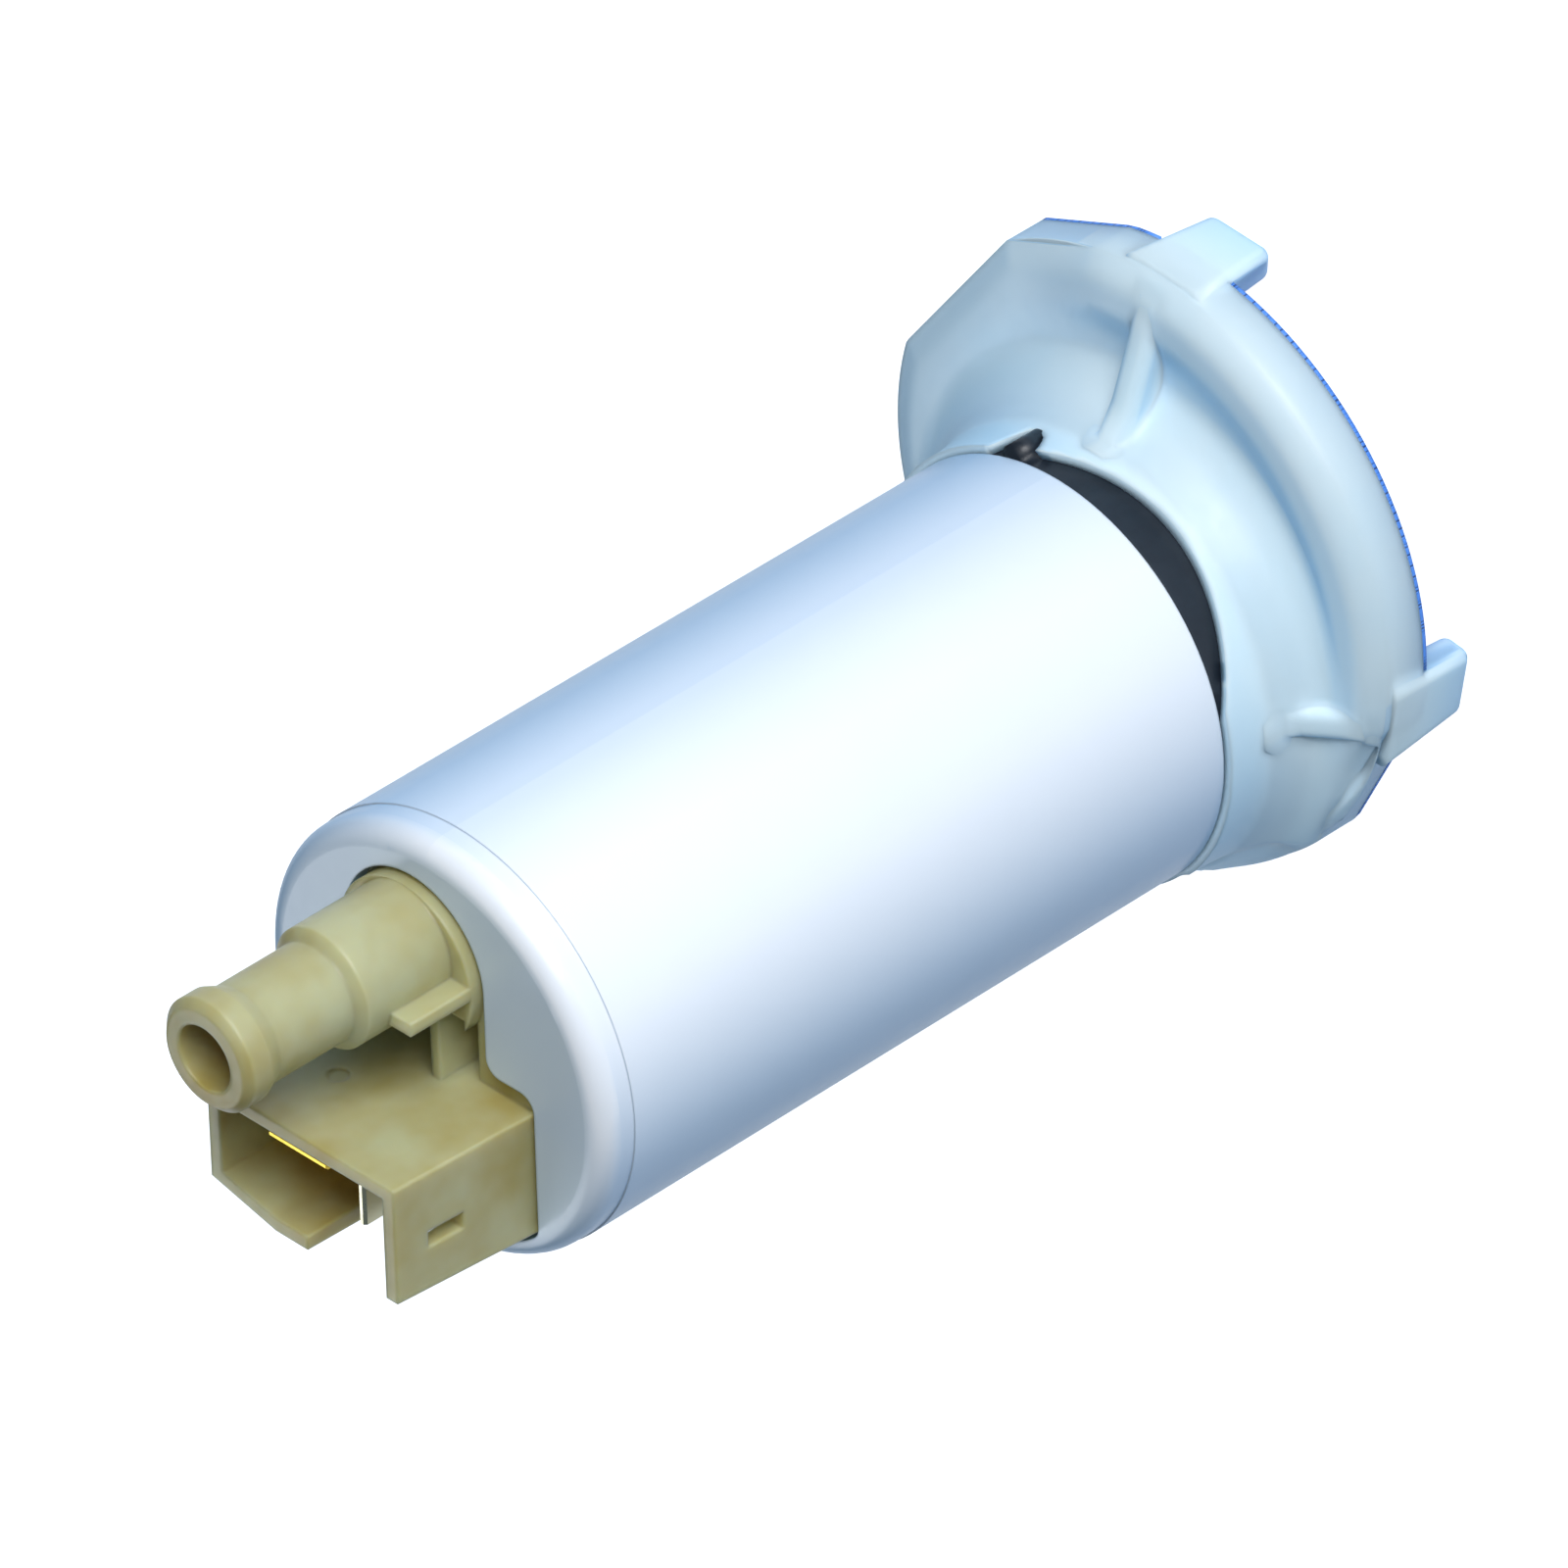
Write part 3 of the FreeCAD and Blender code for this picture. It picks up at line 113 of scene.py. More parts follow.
def noise(tree, vector, scale, detail=2.0, rough=0.5):
    """Noise texture read at a vector."""
    node = add(tree, "ShaderNodeTexNoise", Detail=detail, Roughness=rough)
    wire(tree, vector, node.inputs["Vector"])
    if isinstance(scale, float):
        node.inputs["Scale"].default_value = scale
    else:
        wire(tree, scale, node.inputs["Scale"])
    return node.outputs["Fac"]


def spread(tree, value, low, high, to_low=0.0, to_high=1.0):
    """Stretch a value from one range to another and clamp it."""
    node = tree.nodes.new("ShaderNodeMapRange")
    wire(tree, value, node.inputs["Value"])
    for label, number in (("From Min", low), ("From Max", high)):
        node.inputs[label].default_value = number
    for label, number in (("To Min", to_low), ("To Max", to_high)):
        if isinstance(number, (int, float)):
            node.inputs[label].default_value = number
        else:
            wire(tree, number, node.inputs[label])
    return node.outputs["Result"]


def math(tree, operation, one, two=0.0):
    """Sum, product or other plain operation of two values."""
    node = tree.nodes.new("ShaderNodeMath")
    node.operation = operation
    for socket, value in zip(node.inputs, (one, two)):
        if isinstance(value, (int, float)):
            socket.default_value = value
        else:
            wire(tree, value, socket)
    return node.outputs["Value"]


def blend(tree, mask, one, two):
    """Mix two colours by a mask."""
    node = tree.nodes.new("ShaderNodeMix")
    node.data_type = "RGBA"
    wire(tree, mask, node.inputs["Factor"])
    for socket, colour in ((node.inputs["A"], one), (node.inputs["B"], two)):
        if isinstance(colour, tuple):
            socket.default_value = (*colour, 1.0)
        else:
            wire(tree, colour, socket)
    return node.outputs["Result"]


# ---------------------------------------------------------------- shared effects
def moulded_group():
    """Moulded plastic: slow colour flow, uneven gloss and a fine skin."""
    tree, given, out = new_group(
        "moulded_skin",
        [("Vector", "v"), ("Flow Size", "f"), ("Skin Size", "f"), ("Gloss Low", "f"),
         ("Gloss High", "f"), ("Main", "c"), ("Flow", "c")],
        [("Colour", "c"), ("Roughness", "f"), ("Height", "f")])
    flow = noise(tree, given.outputs["Vector"], given.outputs["Flow Size"], 3.0, 0.55)
    mask = spread(tree, flow, 0.35, 0.68)
    wire(tree, blend(tree, mask, given.outputs["Main"], given.outputs["Flow"]),
         out.inputs["Colour"])
    haze = noise(tree, given.outputs["Vector"], given.outputs["Skin Size"], 4.0, 0.6)
    wire(tree, spread(tree, haze, 0.3, 0.7, given.outputs["Gloss Low"],
                      given.outputs["Gloss High"]), out.inputs["Roughness"])
    wire(tree, haze, out.inputs["Height"])
    return tree


def metal_group():
    """Worked metal: tone changes and fine lines along one direction."""
    tree, given, out = new_group(
        "worked_metal",
        [("Vector", "v"), ("Line Stretch", "v"), ("Gloss Low", "f"), ("Gloss High", "f"),
         ("Main", "c"), ("Tone", "c")],
        [("Colour", "c"), ("Roughness", "f"), ("Height", "f")])
    scaled = tree.nodes.new("ShaderNodeVectorMath")
    scaled.operation = "MULTIPLY"
    wire(tree, given.outputs["Vector"], scaled.inputs[0])
    wire(tree, given.outputs["Line Stretch"], scaled.inputs[1])
    lines = noise(tree, scaled.outputs["Vector"], 1.0, 3.0, 0.6)
    tone = noise(tree, given.outputs["Vector"], 260.0, 3.0, 0.5)
    wire(tree, blend(tree, spread(tree, tone, 0.3, 0.7), given.outputs["Main"],
                     given.outputs["Tone"]), out.inputs["Colour"])
    wire(tree, spread(tree, lines, 0.25, 0.75, given.outputs["Gloss Low"],
                      given.outputs["Gloss High"]), out.inputs["Roughness"])
    wire(tree, lines, out.inputs["Height"])
    return tree


MOULDED, METAL = moulded_group(), metal_group()


def base_material(name):
    """Empty material: its tree, its Principled shader and its object coordinates."""
    made = bpy.data.materials.new(name)
    made.use_nodes = True
    tree = made.node_tree
    shader = tree.nodes["Principled BSDF"]
    place = tree.nodes.new("ShaderNodeTexCoord")
    return made, tree, shader, place.outputs["Object"]


def raise_skin(tree, shader, height, depth, edge=0.0):
    """Turn a height into the shader's normal and soften edges; sizes are in metres."""
    bump = add(tree, "ShaderNodeBump", Strength=1.0, Distance=depth)
    if edge:
        soft = add(tree, "ShaderNodeBevel", Radius=edge)
        soft.samples = 6
        wire(tree, soft.outputs["Normal"], bump.inputs["Normal"])
    wire(tree, height, bump.inputs["Height"])
    wire(tree, bump.outputs["Normal"], shader.inputs["Normal"])


def set_shader(shader, **values):
    """Constants straight on the shader's own sockets."""
    for name, value in values.items():
        shader.inputs[name.replace("_", " ")].default_value = value


def paint_edge_shade(tree, colour, painted_shade_colour):
    """Painted shade: let a colour turn towards a deeper shade colour where the surface turns
    away from the eye.
    """
    facing = add(tree, "ShaderNodeLayerWeight", Blend=0.5)
    return blend(tree, spread(tree, facing.outputs["Facing"], 0.2, 0.72), colour, painted_shade_colour)


def moulded(name, main, flow, gloss, flow_size=60.0, skin_size=900.0, depth=4e-6,
            edge=0.0003, painted_shade_colour=None, **fixed):
    """Moulded plastic or rubber with slightly rounded edges, and painted shade towards edges
    that turn from the eye when a shade colour is given.
    """
    made, tree, shader, place = base_material(name)
    group = tree.nodes.new("ShaderNodeGroup")
    group.node_tree = MOULDED
    wire(tree, place, group.inputs["Vector"])
    for label, value in (("Flow Size", flow_size), ("Skin Size", skin_size),
                         ("Gloss Low", gloss[0]), ("Gloss High", gloss[1]),
                         ("Main", (*main, 1.0)), ("Flow", (*flow, 1.0))):
        group.inputs[label].default_value = value
    colour = group.outputs["Colour"]
    # Painted shade: the colour turns to the shade colour where the surface faces away from the
    # eye.
    wire(tree, paint_edge_shade(tree, colour, painted_shade_colour) if painted_shade_colour else colour, shader.inputs["Base Color"])
    wire(tree, group.outputs["Roughness"], shader.inputs["Roughness"])
    raise_skin(tree, shader, group.outputs["Height"], depth, edge)
    set_shader(shader, **fixed)
    return made


def worked(name, main, tone, gloss, stretch, depth=3e-6, **fixed):
    """Worked metal with lines that run along the axis of least stretch."""
    made, tree, shader, place = base_material(name)
    group = tree.nodes.new("ShaderNodeGroup")
    group.node_tree = METAL
    wire(tree, place, group.inputs["Vector"])
    for label, value in (("Line Stretch", stretch), ("Gloss Low", gloss[0]),
                         ("Gloss High", gloss[1]), ("Main", (*main, 1.0)),
                         ("Tone", (*tone, 1.0))):
        group.inputs[label].default_value = value
    wire(tree, group.outputs["Colour"], shader.inputs["Base Color"])
    wire(tree, group.outputs["Roughness"], shader.inputs["Roughness"])
    raise_skin(tree, shader, group.outputs["Height"], depth)
    set_shader(shader, Metallic=1.0, **fixed)
    return made


def woven(name, thread, gap, pitch):
    """Fine woven filter cloth: two sets of threads and the dark gaps between them."""
    made, tree, shader, place = base_material(name)
    split = tree.nodes.new("ShaderNodeSeparateXYZ")
    wire(tree, place, split.inputs["Vector"])
    waves = []
    for axis in ("X", "Y"):
        turned = math(tree, "MULTIPLY", split.outputs[axis], FULL_TURN / pitch)
        waves.append(math(tree, "ABSOLUTE", math(tree, "SINE", turned)))
    height = math(tree, "MAXIMUM", *waves)
    mask = spread(tree, height, 0.35, 0.75)
    wire(tree, blend(tree, mask, gap, thread), shader.inputs["Base Color"])
    wire(tree, spread(tree, height, 0.0, 1.0, 0.75, 0.45), shader.inputs["Roughness"])
    raise_skin(tree, shader, height, pitch * 0.12)
    return made


# Colours are the main one and the one it turns to, then the range of roughness.
# Sizes of patterns are noise scales; depths, edges and scattering lengths are in metres.
# white_plastic and cup_plastic get a painted shade colour, darker and bluer where their
# surfaces turn from the eye.
MATERIALS = {
    "white_plastic": moulded(
        "white_plastic", (0.89, 0.93, 0.98), (0.91, 0.945, 0.99), (0.30, 0.36),
        flow_size=45.0, skin_size=700.0, depth=2e-6, painted_shade_colour=(0.37, 0.57, 0.80),
        Coat_Weight=0.2, Coat_Roughness=0.2),
    "cup_plastic": moulded(
        "cup_plastic", (0.70, 0.90, 1.0), (0.76, 0.93, 1.0), (0.38, 0.47),
        flow_size=70.0, edge=0.0009, painted_shade_colour=(0.50, 0.77, 1.0),
        Subsurface_Weight=0.2, Subsurface_Scale=0.002, Subsurface_Radius=(1.0, 1.0, 1.0)),
    "aged_nylon": moulded(
        "aged_nylon", (0.50, 0.50, 0.29), (0.39, 0.32, 0.10), (0.28, 0.40),
        flow_size=95.0, skin_size=1100.0, depth=5e-6, edge=0.0005,
        Subsurface_Weight=0.75, Subsurface_Scale=0.004, Subsurface_Radius=(1.0, 0.75, 0.45)),
    "black_rubber": moulded(
        "black_rubber", (0.006, 0.011, 0.020), (0.012, 0.019, 0.030), (0.30, 0.46),
        flow_size=300.0, skin_size=1500.0, depth=1e-5, edge=0.0006),
    "dark_plastic": moulded(
        "dark_plastic", (0.035, 0.03, 0.026), (0.05, 0.043, 0.036), (0.45, 0.6),
        flow_size=200.0),
    "valve_plastic": moulded(
        "valve_plastic", (0.62, 0.60, 0.52), (0.68, 0.66, 0.58), (0.4, 0.5),
        flow_size=200.0),
    "carbon": moulded(
        "carbon", (0.03, 0.03, 0.032), (0.06, 0.06, 0.065), (0.55, 0.75),
        flow_size=700.0, skin_size=2500.0, depth=1e-5),
    "ferrite": moulded(
        "ferrite", (0.05, 0.05, 0.053), (0.085, 0.083, 0.085), (0.5, 0.7),
        flow_size=400.0, skin_size=2000.0, depth=1e-5),
    "filter_mesh": woven(
        "filter_mesh", thread=(0.10, 0.32, 0.95), gap=(0.03, 0.09, 0.30), pitch=0.0006),
    "brass_blade": worked(
        "brass_blade", (0.93, 0.66, 0.09), (0.80, 0.54, 0.07), (0.24, 0.36),
        stretch=(1500, 1500, 150), depth=6e-7),
    "plated_blade": worked(
        "plated_blade", (0.80, 0.76, 0.55), (0.72, 0.66, 0.44), (0.24, 0.36),
        stretch=(1500, 1500, 150), depth=6e-7),
    "zinc_steel": worked(
        "zinc_steel", (0.60, 0.62, 0.62), (0.50, 0.53, 0.52), (0.28, 0.42),
        stretch=(900, 900, 5000)),
    "spring_steel": worked(
        "spring_steel", (0.52, 0.53, 0.55), (0.40, 0.41, 0.43), (0.22, 0.34),
        stretch=(3000, 3000, 800)),
    "ground_steel": worked(
        "ground_steel", (0.66, 0.67, 0.69), (0.58, 0.59, 0.61), (0.12, 0.22),
        stretch=(700, 700, 6000)),
    "core_steel": worked(
        "core_steel", (0.24, 0.24, 0.26), (0.16, 0.16, 0.175), (0.38, 0.5),
        stretch=(300, 300, 12000)),
    "copper_wire": worked(
        "copper_wire", (0.62, 0.24, 0.10), (0.48, 0.17, 0.07), (0.24, 0.36),
        stretch=(900, 900, 2600)),
    "copper_disc": worked(
        "copper_disc", (0.78, 0.40, 0.24), (0.60, 0.28, 0.16), (0.2, 0.34),
        stretch=(500, 500, 6000)),
    "brass_part": worked(
        "brass_part", (0.76, 0.56, 0.22), (0.62, 0.44, 0.16), (0.2, 0.32),
        stretch=(700, 700, 5000)),
    "bronze": worked(
        "bronze", (0.50, 0.33, 0.17), (0.38, 0.24, 0.12), (0.36, 0.5),
        stretch=(2500, 2500, 2500)),
    "cast_aluminium": worked(
        "cast_aluminium", (0.62, 0.63, 0.64), (0.52, 0.53, 0.54), (0.35, 0.5),
        stretch=(1800, 1800, 1800), depth=1e-5),
}


def finish_nodes():
    """Give each CAD node the material of its slot."""
    for name, node in NODES.items():
        node.data.materials.clear()
        node.data.materials.append(MATERIALS[SLOTS[name]])


# ---------------------------------------------------------------- cup and rubber ring
# Millimetres and degrees, measured from the motor axis unless a comment says otherwise.
CUP_X, CUP_R, CUP_RIM = 6.6, 27.2, -14.2
FLATS = ((52.5, 1.7), (21.0, 0.5), (-117.0, 1.15))   # turn about the cup's centre, depth
FOOT_TURNS = (-5.0, -100.0, 127.5)                   # about the cup's centre
RIB_REACH, RIB_CLEAR = 26.0, 1.7
COLLAR_IN, COLLAR_OUT, COLLAR_FOOT, COLLAR_TOP = 18.75, 19.6, 24.6, -0.25
COLLAR_CURVE = 3.2                                   # power of the collar's hollow slope
DISH_Z, SHOULDER_Z, PLAIN_Z = -10.05, -8.55, -9.55
SHOULDER_ROUND, SHOULDER_WIDE, SHOULDER_SLOPE = 2.6, 3.8, 4.5
PLAIN_TURNS = (2, 24, 165, 185)                      # where the shoulder lies lower
HOLLOW = 0.45                                        # blend between collar and shoulder
SCOOP_TURN, SCOOP_R, SCOOP_LOW = -30.0, 29.0, -3.8
LUG_TURN, LUG_AT, LUG_DIP = 14.0, 18.7, 2.4
NEAR_OUT = 19.25                                     # collar's radius on the connector side
NEAR_TURNS, NEAR_HEIGHTS = (140, 170, 225, 245), (-10.0, -7.0)
TUCK_Z = DISH_Z - 1                                  # where the new top ends inside the cup
RIM_WALL = 0.4                                       # its thickness at the rim
COVER, BED = 0.25, 0.4                               # depth of the copied top below the new
WALL_OUT, WALL_IN = 0.02, 0.1                        # new and copied wall off the outline
COLUMNS, COLLAR_ROWS, DISH_ROWS = 360, 14, 26
SPIN_R = 100                                         # radius of the section while it is spun


def direction(degrees):
    """Cosine and sine of an angle in degrees."""
    turn = plain_math.radians(degrees)
    return plain_math.cos(turn), plain_math.sin(turn)


def turn_of(x, y):
    """Angle of a place around the motor axis, in degrees."""
    return plain_math.degrees(plain_math.atan2(y, x))


def ease(value, low, high):
    """Smooth step from 0 at low to 1 at high."""
    t = min(max((value - low) / (high - low), 0.0), 1.0)
    return t * t * (3 - 2 * t)


def within(degrees, turns):
    """1 inside a range of angles, 0 outside it, with eased ends."""
    turn = degrees % 360
    return ease(turn, turns[0], turns[1]) * (1 - ease(turn, turns[2], turns[3]))


def set_radius(corner, radius):
    """Move a corner straight out or in to a radius around the motor axis."""
    x, y, _ = corner.co
    out = plain_math.hypot(x, y)
    corner.co.x, corner.co.y = x * radius / out, y * radius / out


def outline_at(degrees):
    """Distance from the motor axis to the cup's outline, its flats included."""
    c, d = direction(degrees)
    far = CUP_X * c + plain_math.sqrt(CUP_R ** 2 - (CUP_X * d) ** 2)
    for turn, deep in FLATS:
        fc, fd = direction(turn)
        facing = c * fc + d * fd
        if facing > 0.1:
            far = min(far, (CUP_R - deep + CUP_X * fc) / facing)
    return far


def collar_height(radius):
    """Height of the collar's hollow slope at a radius."""
    t = min(max((radius - COLLAR_OUT) / (COLLAR_FOOT - COLLAR_OUT), 0.0), 1.0) ** (
        1 / COLLAR_CURVE)
    return COLLAR_TOP + (DISH_Z - COLLAR_TOP) * t


def shoulder_height(inside, degrees):
    """Height of the cup's top at a distance inside its outline."""
    top = SHOULDER_Z + (PLAIN_Z - SHOULDER_Z) * within(degrees, PLAIN_TURNS)
    if inside < SHOULDER_ROUND:
        drop = SHOULDER_ROUND ** 2 - (SHOULDER_ROUND - inside) ** 2
        return top - SHOULDER_ROUND + plain_math.sqrt(max(drop, 0.0))
    return top + (DISH_Z - top) * ease(inside, SHOULDER_WIDE, SHOULDER_WIDE + SHOULDER_SLOPE)


def scoop_height(x, y):
    """Greatest height of the collar: the scoop on one side and the dip around the lug."""
    c, d = direction(SCOOP_TURN)
    along, across = x * c + y * d, abs(y * c - x * d)
    height = COLLAR_TOP
    if along > 0 and across < SCOOP_R:
        height = min(height, SCOOP_LOW + SCOOP_R - plain_math.sqrt(SCOOP_R ** 2 - across ** 2))
    c, d = direction(LUG_TURN)
    near = plain_math.hypot(x - LUG_AT * c, y - LUG_AT * d) / LUG_DIP
    if near < 1:
        height = min(height, SCOOP_LOW + (COLLAR_TOP - SCOOP_LOW) * near ** 3)
    return height


def soft_max(one, two):
    """Greater of two heights with a hollow blend between them."""
    gap = abs(one - two) / HOLLOW
    return max(one, two) + HOLLOW * plain_math.log1p(plain_math.exp(-gap))


def top_height(radius, degrees):
    """Height of the cup's top surface at a place."""
    c, d = direction(degrees)
    shoulder = shoulder_height(max(outline_at(degrees) - radius, 0.0), degrees)
    height = soft_max(collar_height(radius), shoulder)
    return min(height, scoop_height(radius * c, radius * d))


def cup_column(degrees):
    """Radius and height of each corner of the cup's section at an angle."""
    edge = outline_at(degrees) + WALL_OUT
    c, d = direction(degrees)
    collar_top = min(COLLAR_TOP, scoop_height(COLLAR_IN * c, COLLAR_IN * d))
    rows = [(COLLAR_IN, TUCK_Z), (COLLAR_IN, collar_top)]
    for i in range(COLLAR_ROWS + 1):
        radius = COLLAR_OUT + (COLLAR_FOOT - COLLAR_OUT) * (i / COLLAR_ROWS) ** COLLAR_CURVE
        height = top_height(radius, degrees) if radius < edge else collar_height(radius)
        rows.append((min(radius, edge), height))
    foot = min(COLLAR_FOOT, edge)
    for i in range(1, DISH_ROWS + 1):
        radius = foot + (edge - foot) * plain_math.sin(i / DISH_ROWS * plain_math.pi / 2)
        height = top_height(radius, degrees)
        if foot == edge:
            height = min(rows[-1][1], height)
        rows.append((radius, height))
    near = within(degrees, NEAR_TURNS)
    flush = []
    for radius, height in rows:
        reach = 1 - near * ease(height, *NEAR_HEIGHTS)
        flush.append((min(radius, NEAR_OUT + (edge - NEAR_OUT) * reach), height))
    return flush + [(edge, CUP_RIM), (edge - RIM_WALL, CUP_RIM - 0.01),
                    (edge - RIM_WALL, TUCK_Z)]


def add_cup_top(shape):
    """Soft top of the cup: a ring of sections, joined by a spin and then set to size."""
    rows = len(cup_column(0))
    ring = [shape.verts.new((SPIN_R + i, 0, 0)) for i in range(rows)]
    edges = [shape.edges.new(pair) for pair in zip(ring, ring[1:] + ring[:1])]
    bmesh.ops.spin(shape, geom=ring + edges, cent=(0, 0, 0), axis=(0, 0, 1),
                   angle=FULL_TURN, steps=COLUMNS, use_merge=True)
    columns = {}
    for corner in [v for v in shape.verts if v.co.xy.length > SPIN_R - 1]:
        row = round(corner.co.xy.length) - SPIN_R
        degrees = round(turn_of(corner.co.x, corner.co.y), 2)
        if degrees not in columns:
            columns[degrees] = cup_column(degrees)
        radius, height = columns[degrees][row]
        c, d = direction(degrees)
        corner.co = Vector((radius * c, radius * d, height))


def beside_rib(x, y):
    """True within a rib, which runs from the motor axis to above a foot."""
    for turn in FOOT_TURNS:
        c, d = direction(turn)
        end = Vector((CUP_X + RIB_REACH * c, RIB_REACH * d)).normalized()
        if x * end.x + y * end.y > COLLAR_OUT and abs(y * end.x - x * end.y) < RIB_CLEAR:
            return True
    return False


def sink_below_top(shape):
    """Lower the copied cup under its soft top, away from the ribs, and trim it to the flats."""
    for corner in shape.verts:
        x, y, z = corner.co
        radius, degrees = plain_math.hypot(x, y), turn_of(x, y)
        edge = outline_at(degrees)
        if radius > COLLAR_IN - 0.1 and z > DISH_Z - BED and not beside_rib(x, y):
            inner = min(max(radius, COLLAR_IN + 0.3), edge - 0.15)
            corner.co.z = min(z, top_height(inner, degrees) - COVER)
        on_wall = abs(plain_math.hypot(x - CUP_X, y) - CUP_R) < 0.05
        if on_wall and radius > edge - WALL_IN:
            set_radius(corner, edge - WALL_IN)


def copied(node):
    """Mesh of a CAD node in millimetres, with the corners of its triangles joined."""
    shape = bmesh.new()
    shape.from_mesh(NODES[node].data)
    bmesh.ops.remove_doubles(shape, verts=shape.verts, dist=1e-6)
    bmesh.ops.scale(shape, verts=shape.verts, vec=(1 / MM, 1 / MM, 1 / MM))
    return shape


def finished(shape, name, node, slot, sharp=50):
    """Object from a shape in millimetres that takes the place of a CAD node."""
    bmesh.ops.scale(shape, verts=shape.verts, vec=(MM, MM, MM))
    bmesh.ops.recalc_face_normals(shape, faces=shape.faces)
    mesh = bpy.data.meshes.new(name)
    shape.to_mesh(mesh)
    shape.free()
    mesh.shade_smooth()
    mesh.set_sharp_from_angle(angle=plain_math.radians(sharp))
    mesh.materials.clear()
    mesh.materials.append(MATERIALS[slot])
    made = bpy.data.objects.new(name, mesh)
    bpy.context.scene.collection.objects.link(made)
    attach(made, body_of(NODES[node])[0])
    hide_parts(node)
    return made


def make_cup():
    """Strainer cup with a soft top, hollow collar and the copied feet and ribs."""
    shape = copied("base_cup")
    sink_below_top(shape)
    add_cup_top(shape)
    finished(shape, "soft_cup", "base_cup", "cup_plastic", 60)


def make_rubber_ring():
    """Rubber ring whose lugs stay only where the collar dips."""
    shape = copied("isolator_ring")
    c, d = direction(LUG_TURN)
    for corner in shape.verts:
        x, y, _ = corner.co
        kept_lug = plain_math.hypot(x - LUG_AT * c, y - LUG_AT * d) <= LUG_DIP
        if plain_math.hypot(x, y) > COLLAR_IN and not kept_lug:
            set_radius(corner, COLLAR_IN - 0.04)
    finished(shape, "soft_ring", "isolator_ring", "black_rubber", 40)


def make_mesh_disc():
    """Filter mesh trimmed to the cup's flats."""
    shape = copied("strainer_mesh")
    for corner in shape.verts:
        x, y, _ = corner.co
        edge = outline_at(turn_of(x, y)) + 0.04
        if plain_math.hypot(x, y) > edge - 0.6:
            set_radius(corner, edge)
    finished(shape, "trimmed_mesh", "strainer_mesh", "filter_mesh", 40)


# ---------------------------------------------------------------- springs
# Joint, how far the spring shortens with it and the height of its fixed end, in millimetres.
# The relief spring shortens 0.2 more than its ball drops, to clear the round of the ball.
SPRINGS = {"brush_spring_a": ("brush_a_slide", 3.0, 64.0),
           "brush_spring_b": ("brush_b_slide", 3.0, 64.0),
           "check_spring": ("outlet_valve_lift", 2.5, 76.0),
           "relief_spring": ("relief_valve_drop", 1.4, -7.1)}


def make_springs():
    """Coil springs copied from their CAD nodes, each with its slot's finish."""
    for node, (joint, travel, fixed_end) in SPRINGS.items():
        shape = copied(node)
        coil = finished(shape, "pressed_" + node, node, SLOTS[node])
        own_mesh(coil)


# ---------------------------------------------------------------- stage
def make_floor():
    """Pale floor under the feet, white to the camera and to reflections."""
    low = CAD_BOX[0].z
    mesh = bpy.data.meshes.new("floor")
    reach = 3.0
    mesh.from_pydata([(-reach, -reach, low), (reach, -reach, low), (reach, reach, low),
                      (-reach, reach, low)], [], [(0, 1, 2, 3)])
    floor = bpy.data.objects.new("floor", mesh)
    bpy.context.scene.collection.objects.link(floor)
    made, tree, shader, _ = base_material("pale_floor")
    set_shader(shader, Base_Color=(0.60, 0.72, 0.86, 1.0), Roughness=0.9,
               Emission_Color=(1.0, 1.0, 1.0, 1.0))
    path = tree.nodes.new("ShaderNodeLightPath")
    mirrored = math(tree, "MULTIPLY", path.outputs["Is Glossy Ray"], 0.45)
    seen = math(tree, "MAXIMUM", path.outputs["Is Camera Ray"],
                math(tree, "MAXIMUM", mirrored, path.outputs["Is Transmission Ray"]))
    wire(tree, seen, shader.inputs["Emission Strength"])
    mesh.materials.append(made)


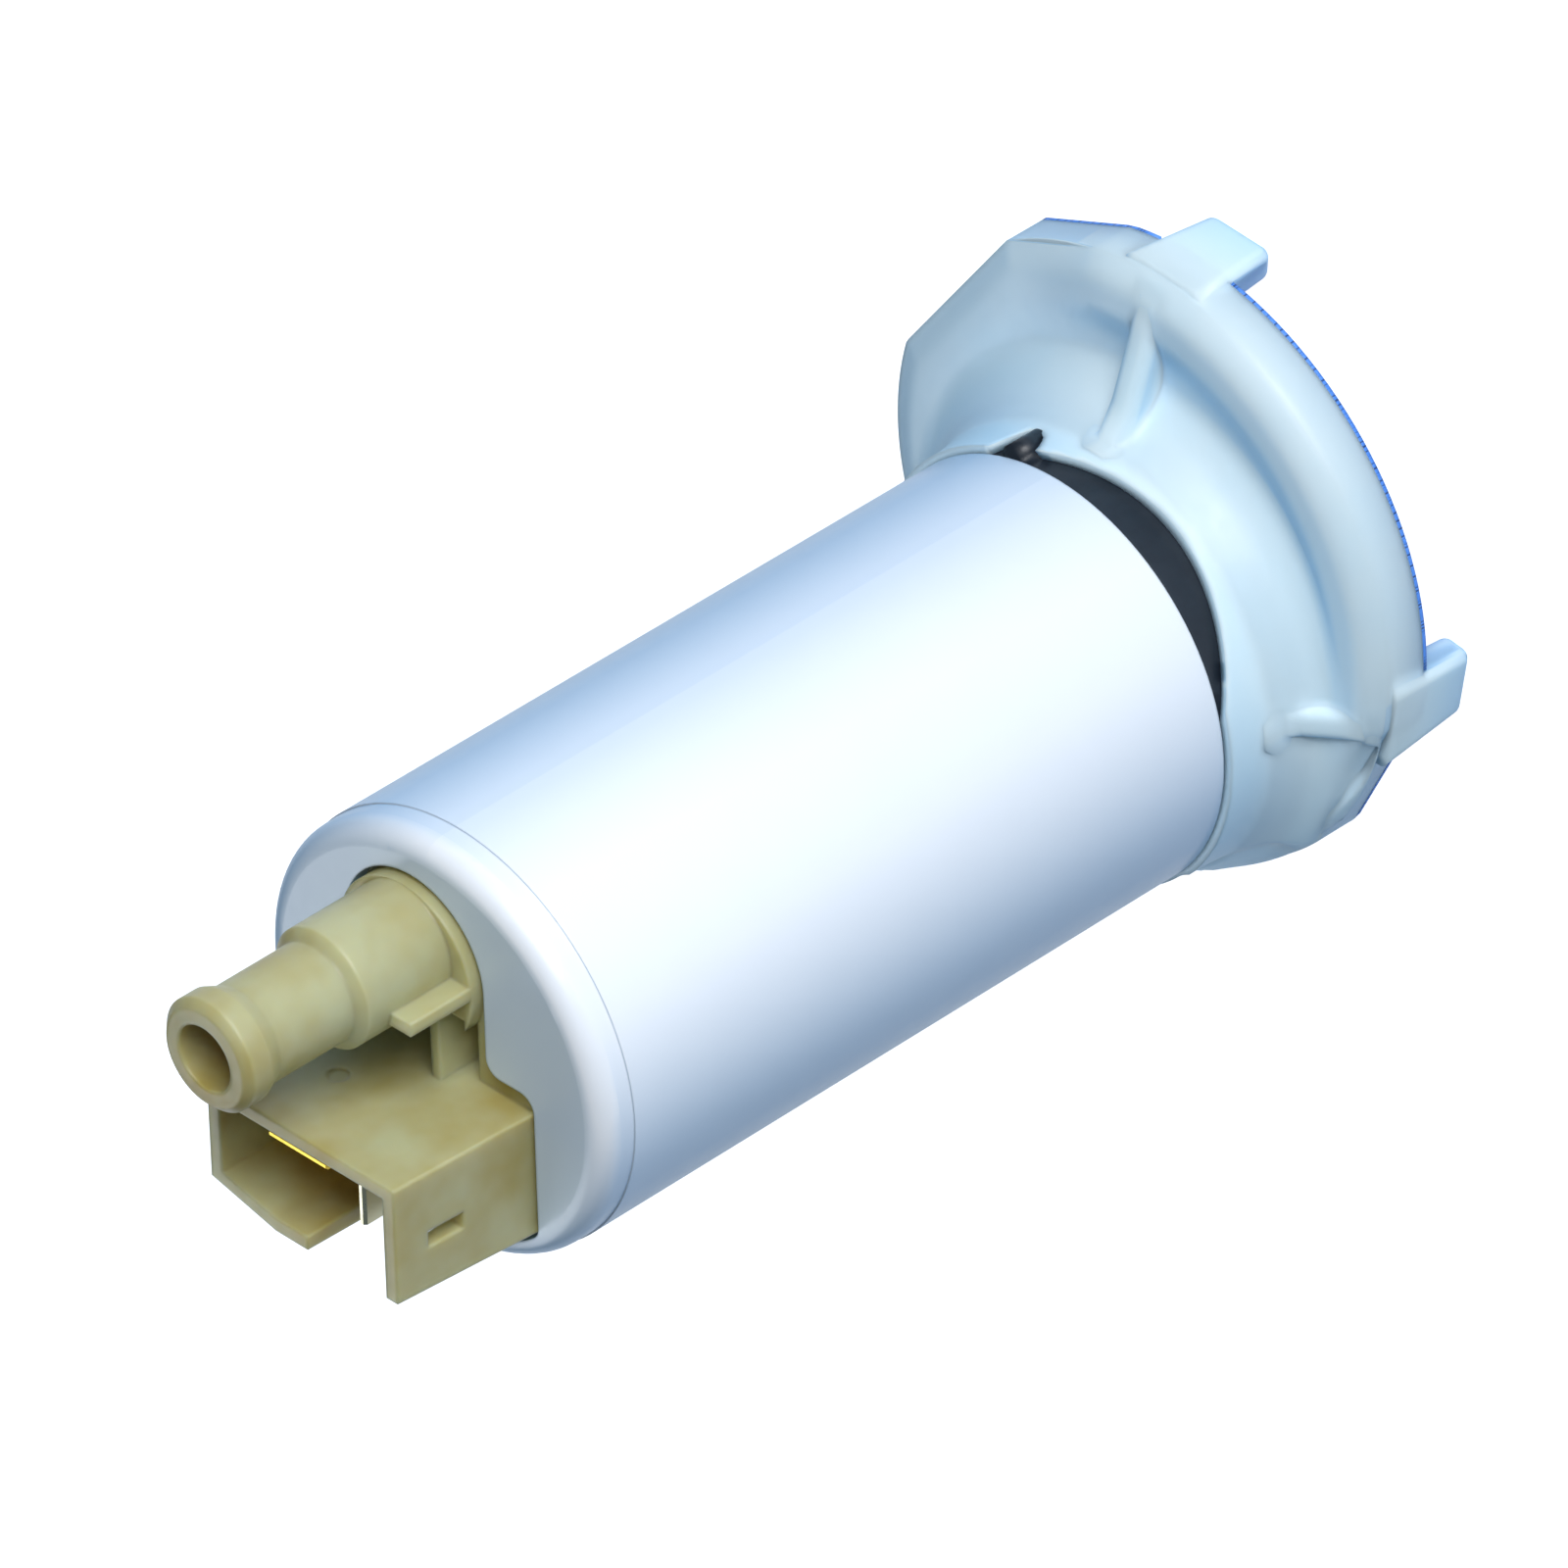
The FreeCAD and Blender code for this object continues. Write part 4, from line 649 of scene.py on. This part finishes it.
def make_world():
    """Cool even fill that the camera sees as white."""
    world = bpy.data.worlds.new("studio")
    bpy.context.scene.world = world
    world.use_nodes = True
    tree = world.node_tree
    sky = tree.nodes["Background"]
    path = tree.nodes.new("ShaderNodeLightPath")
    seen = path.outputs["Is Camera Ray"]
    wire(tree, blend(tree, seen, (0.66, 0.84, 1.0), (1.0, 1.0, 1.0)), sky.inputs["Color"])
    wire(tree, math(tree, "MAXIMUM", 0.17, seen), sky.inputs["Strength"])


LAMP_AIM = Vector((0, 0, 34 * MM))


def area_light(name, towards, distance, size, power, colour):
    """Soft rectangular lamp that shines on the pump from a direction."""
    lamp = bpy.data.lights.new(name, "AREA")
    lamp.size, lamp.energy, lamp.color = size, power, colour
    thing = bpy.data.objects.new(name, lamp)
    bpy.context.scene.collection.objects.link(thing)
    aim = Vector(towards).normalized()
    thing.location = LAMP_AIM + aim * distance
    thing.rotation_mode = "QUATERNION"
    thing.rotation_quaternion = (-aim).to_track_quat("-Z", "Y")


def make_camera():
    """Camera at the photograph's place and roll."""
    middle = Vector((0, 0, 34.25 * MM))
    distance, aside, above = 1.335, 2.926 * MM, 5.527 * MM
    right = Vector((-0.0221, -0.7046, -0.7093))
    up = Vector((0.8110, 0.4023, -0.4248))
    back = right.cross(up).normalized()
    right = up.cross(back).normalized()
    place = middle + right * aside + up * above + back * distance
    data = bpy.data.cameras.new("camera")
    data.sensor_width, data.lens = 36.0, 390.5
    data.clip_start, data.clip_end = 0.05, 20.0
    camera = bpy.data.objects.new("camera", data)
    bpy.context.scene.collection.objects.link(camera)
    rows = [(right[i], up[i], back[i], place[i]) for i in range(3)]
    camera.matrix_world = Matrix(rows + [(0, 0, 0, 1)])
    bpy.context.scene.camera = camera


finish_nodes()
make_cup()
make_rubber_ring()
make_mesh_disc()
make_springs()
make_floor()
make_world()
area_light("key", towards=(0.83, -0.44, 0.33), distance=0.9, size=0.5, power=7.6,
           colour=(0.985, 0.985, 1.0))
area_light("back", towards=(-0.8, 0.5, 0.5), distance=0.9, size=0.5, power=2.0,
           colour=(0.9, 0.95, 1.0))
make_camera()
bpy.context.scene.view_settings.view_transform = "Standard"
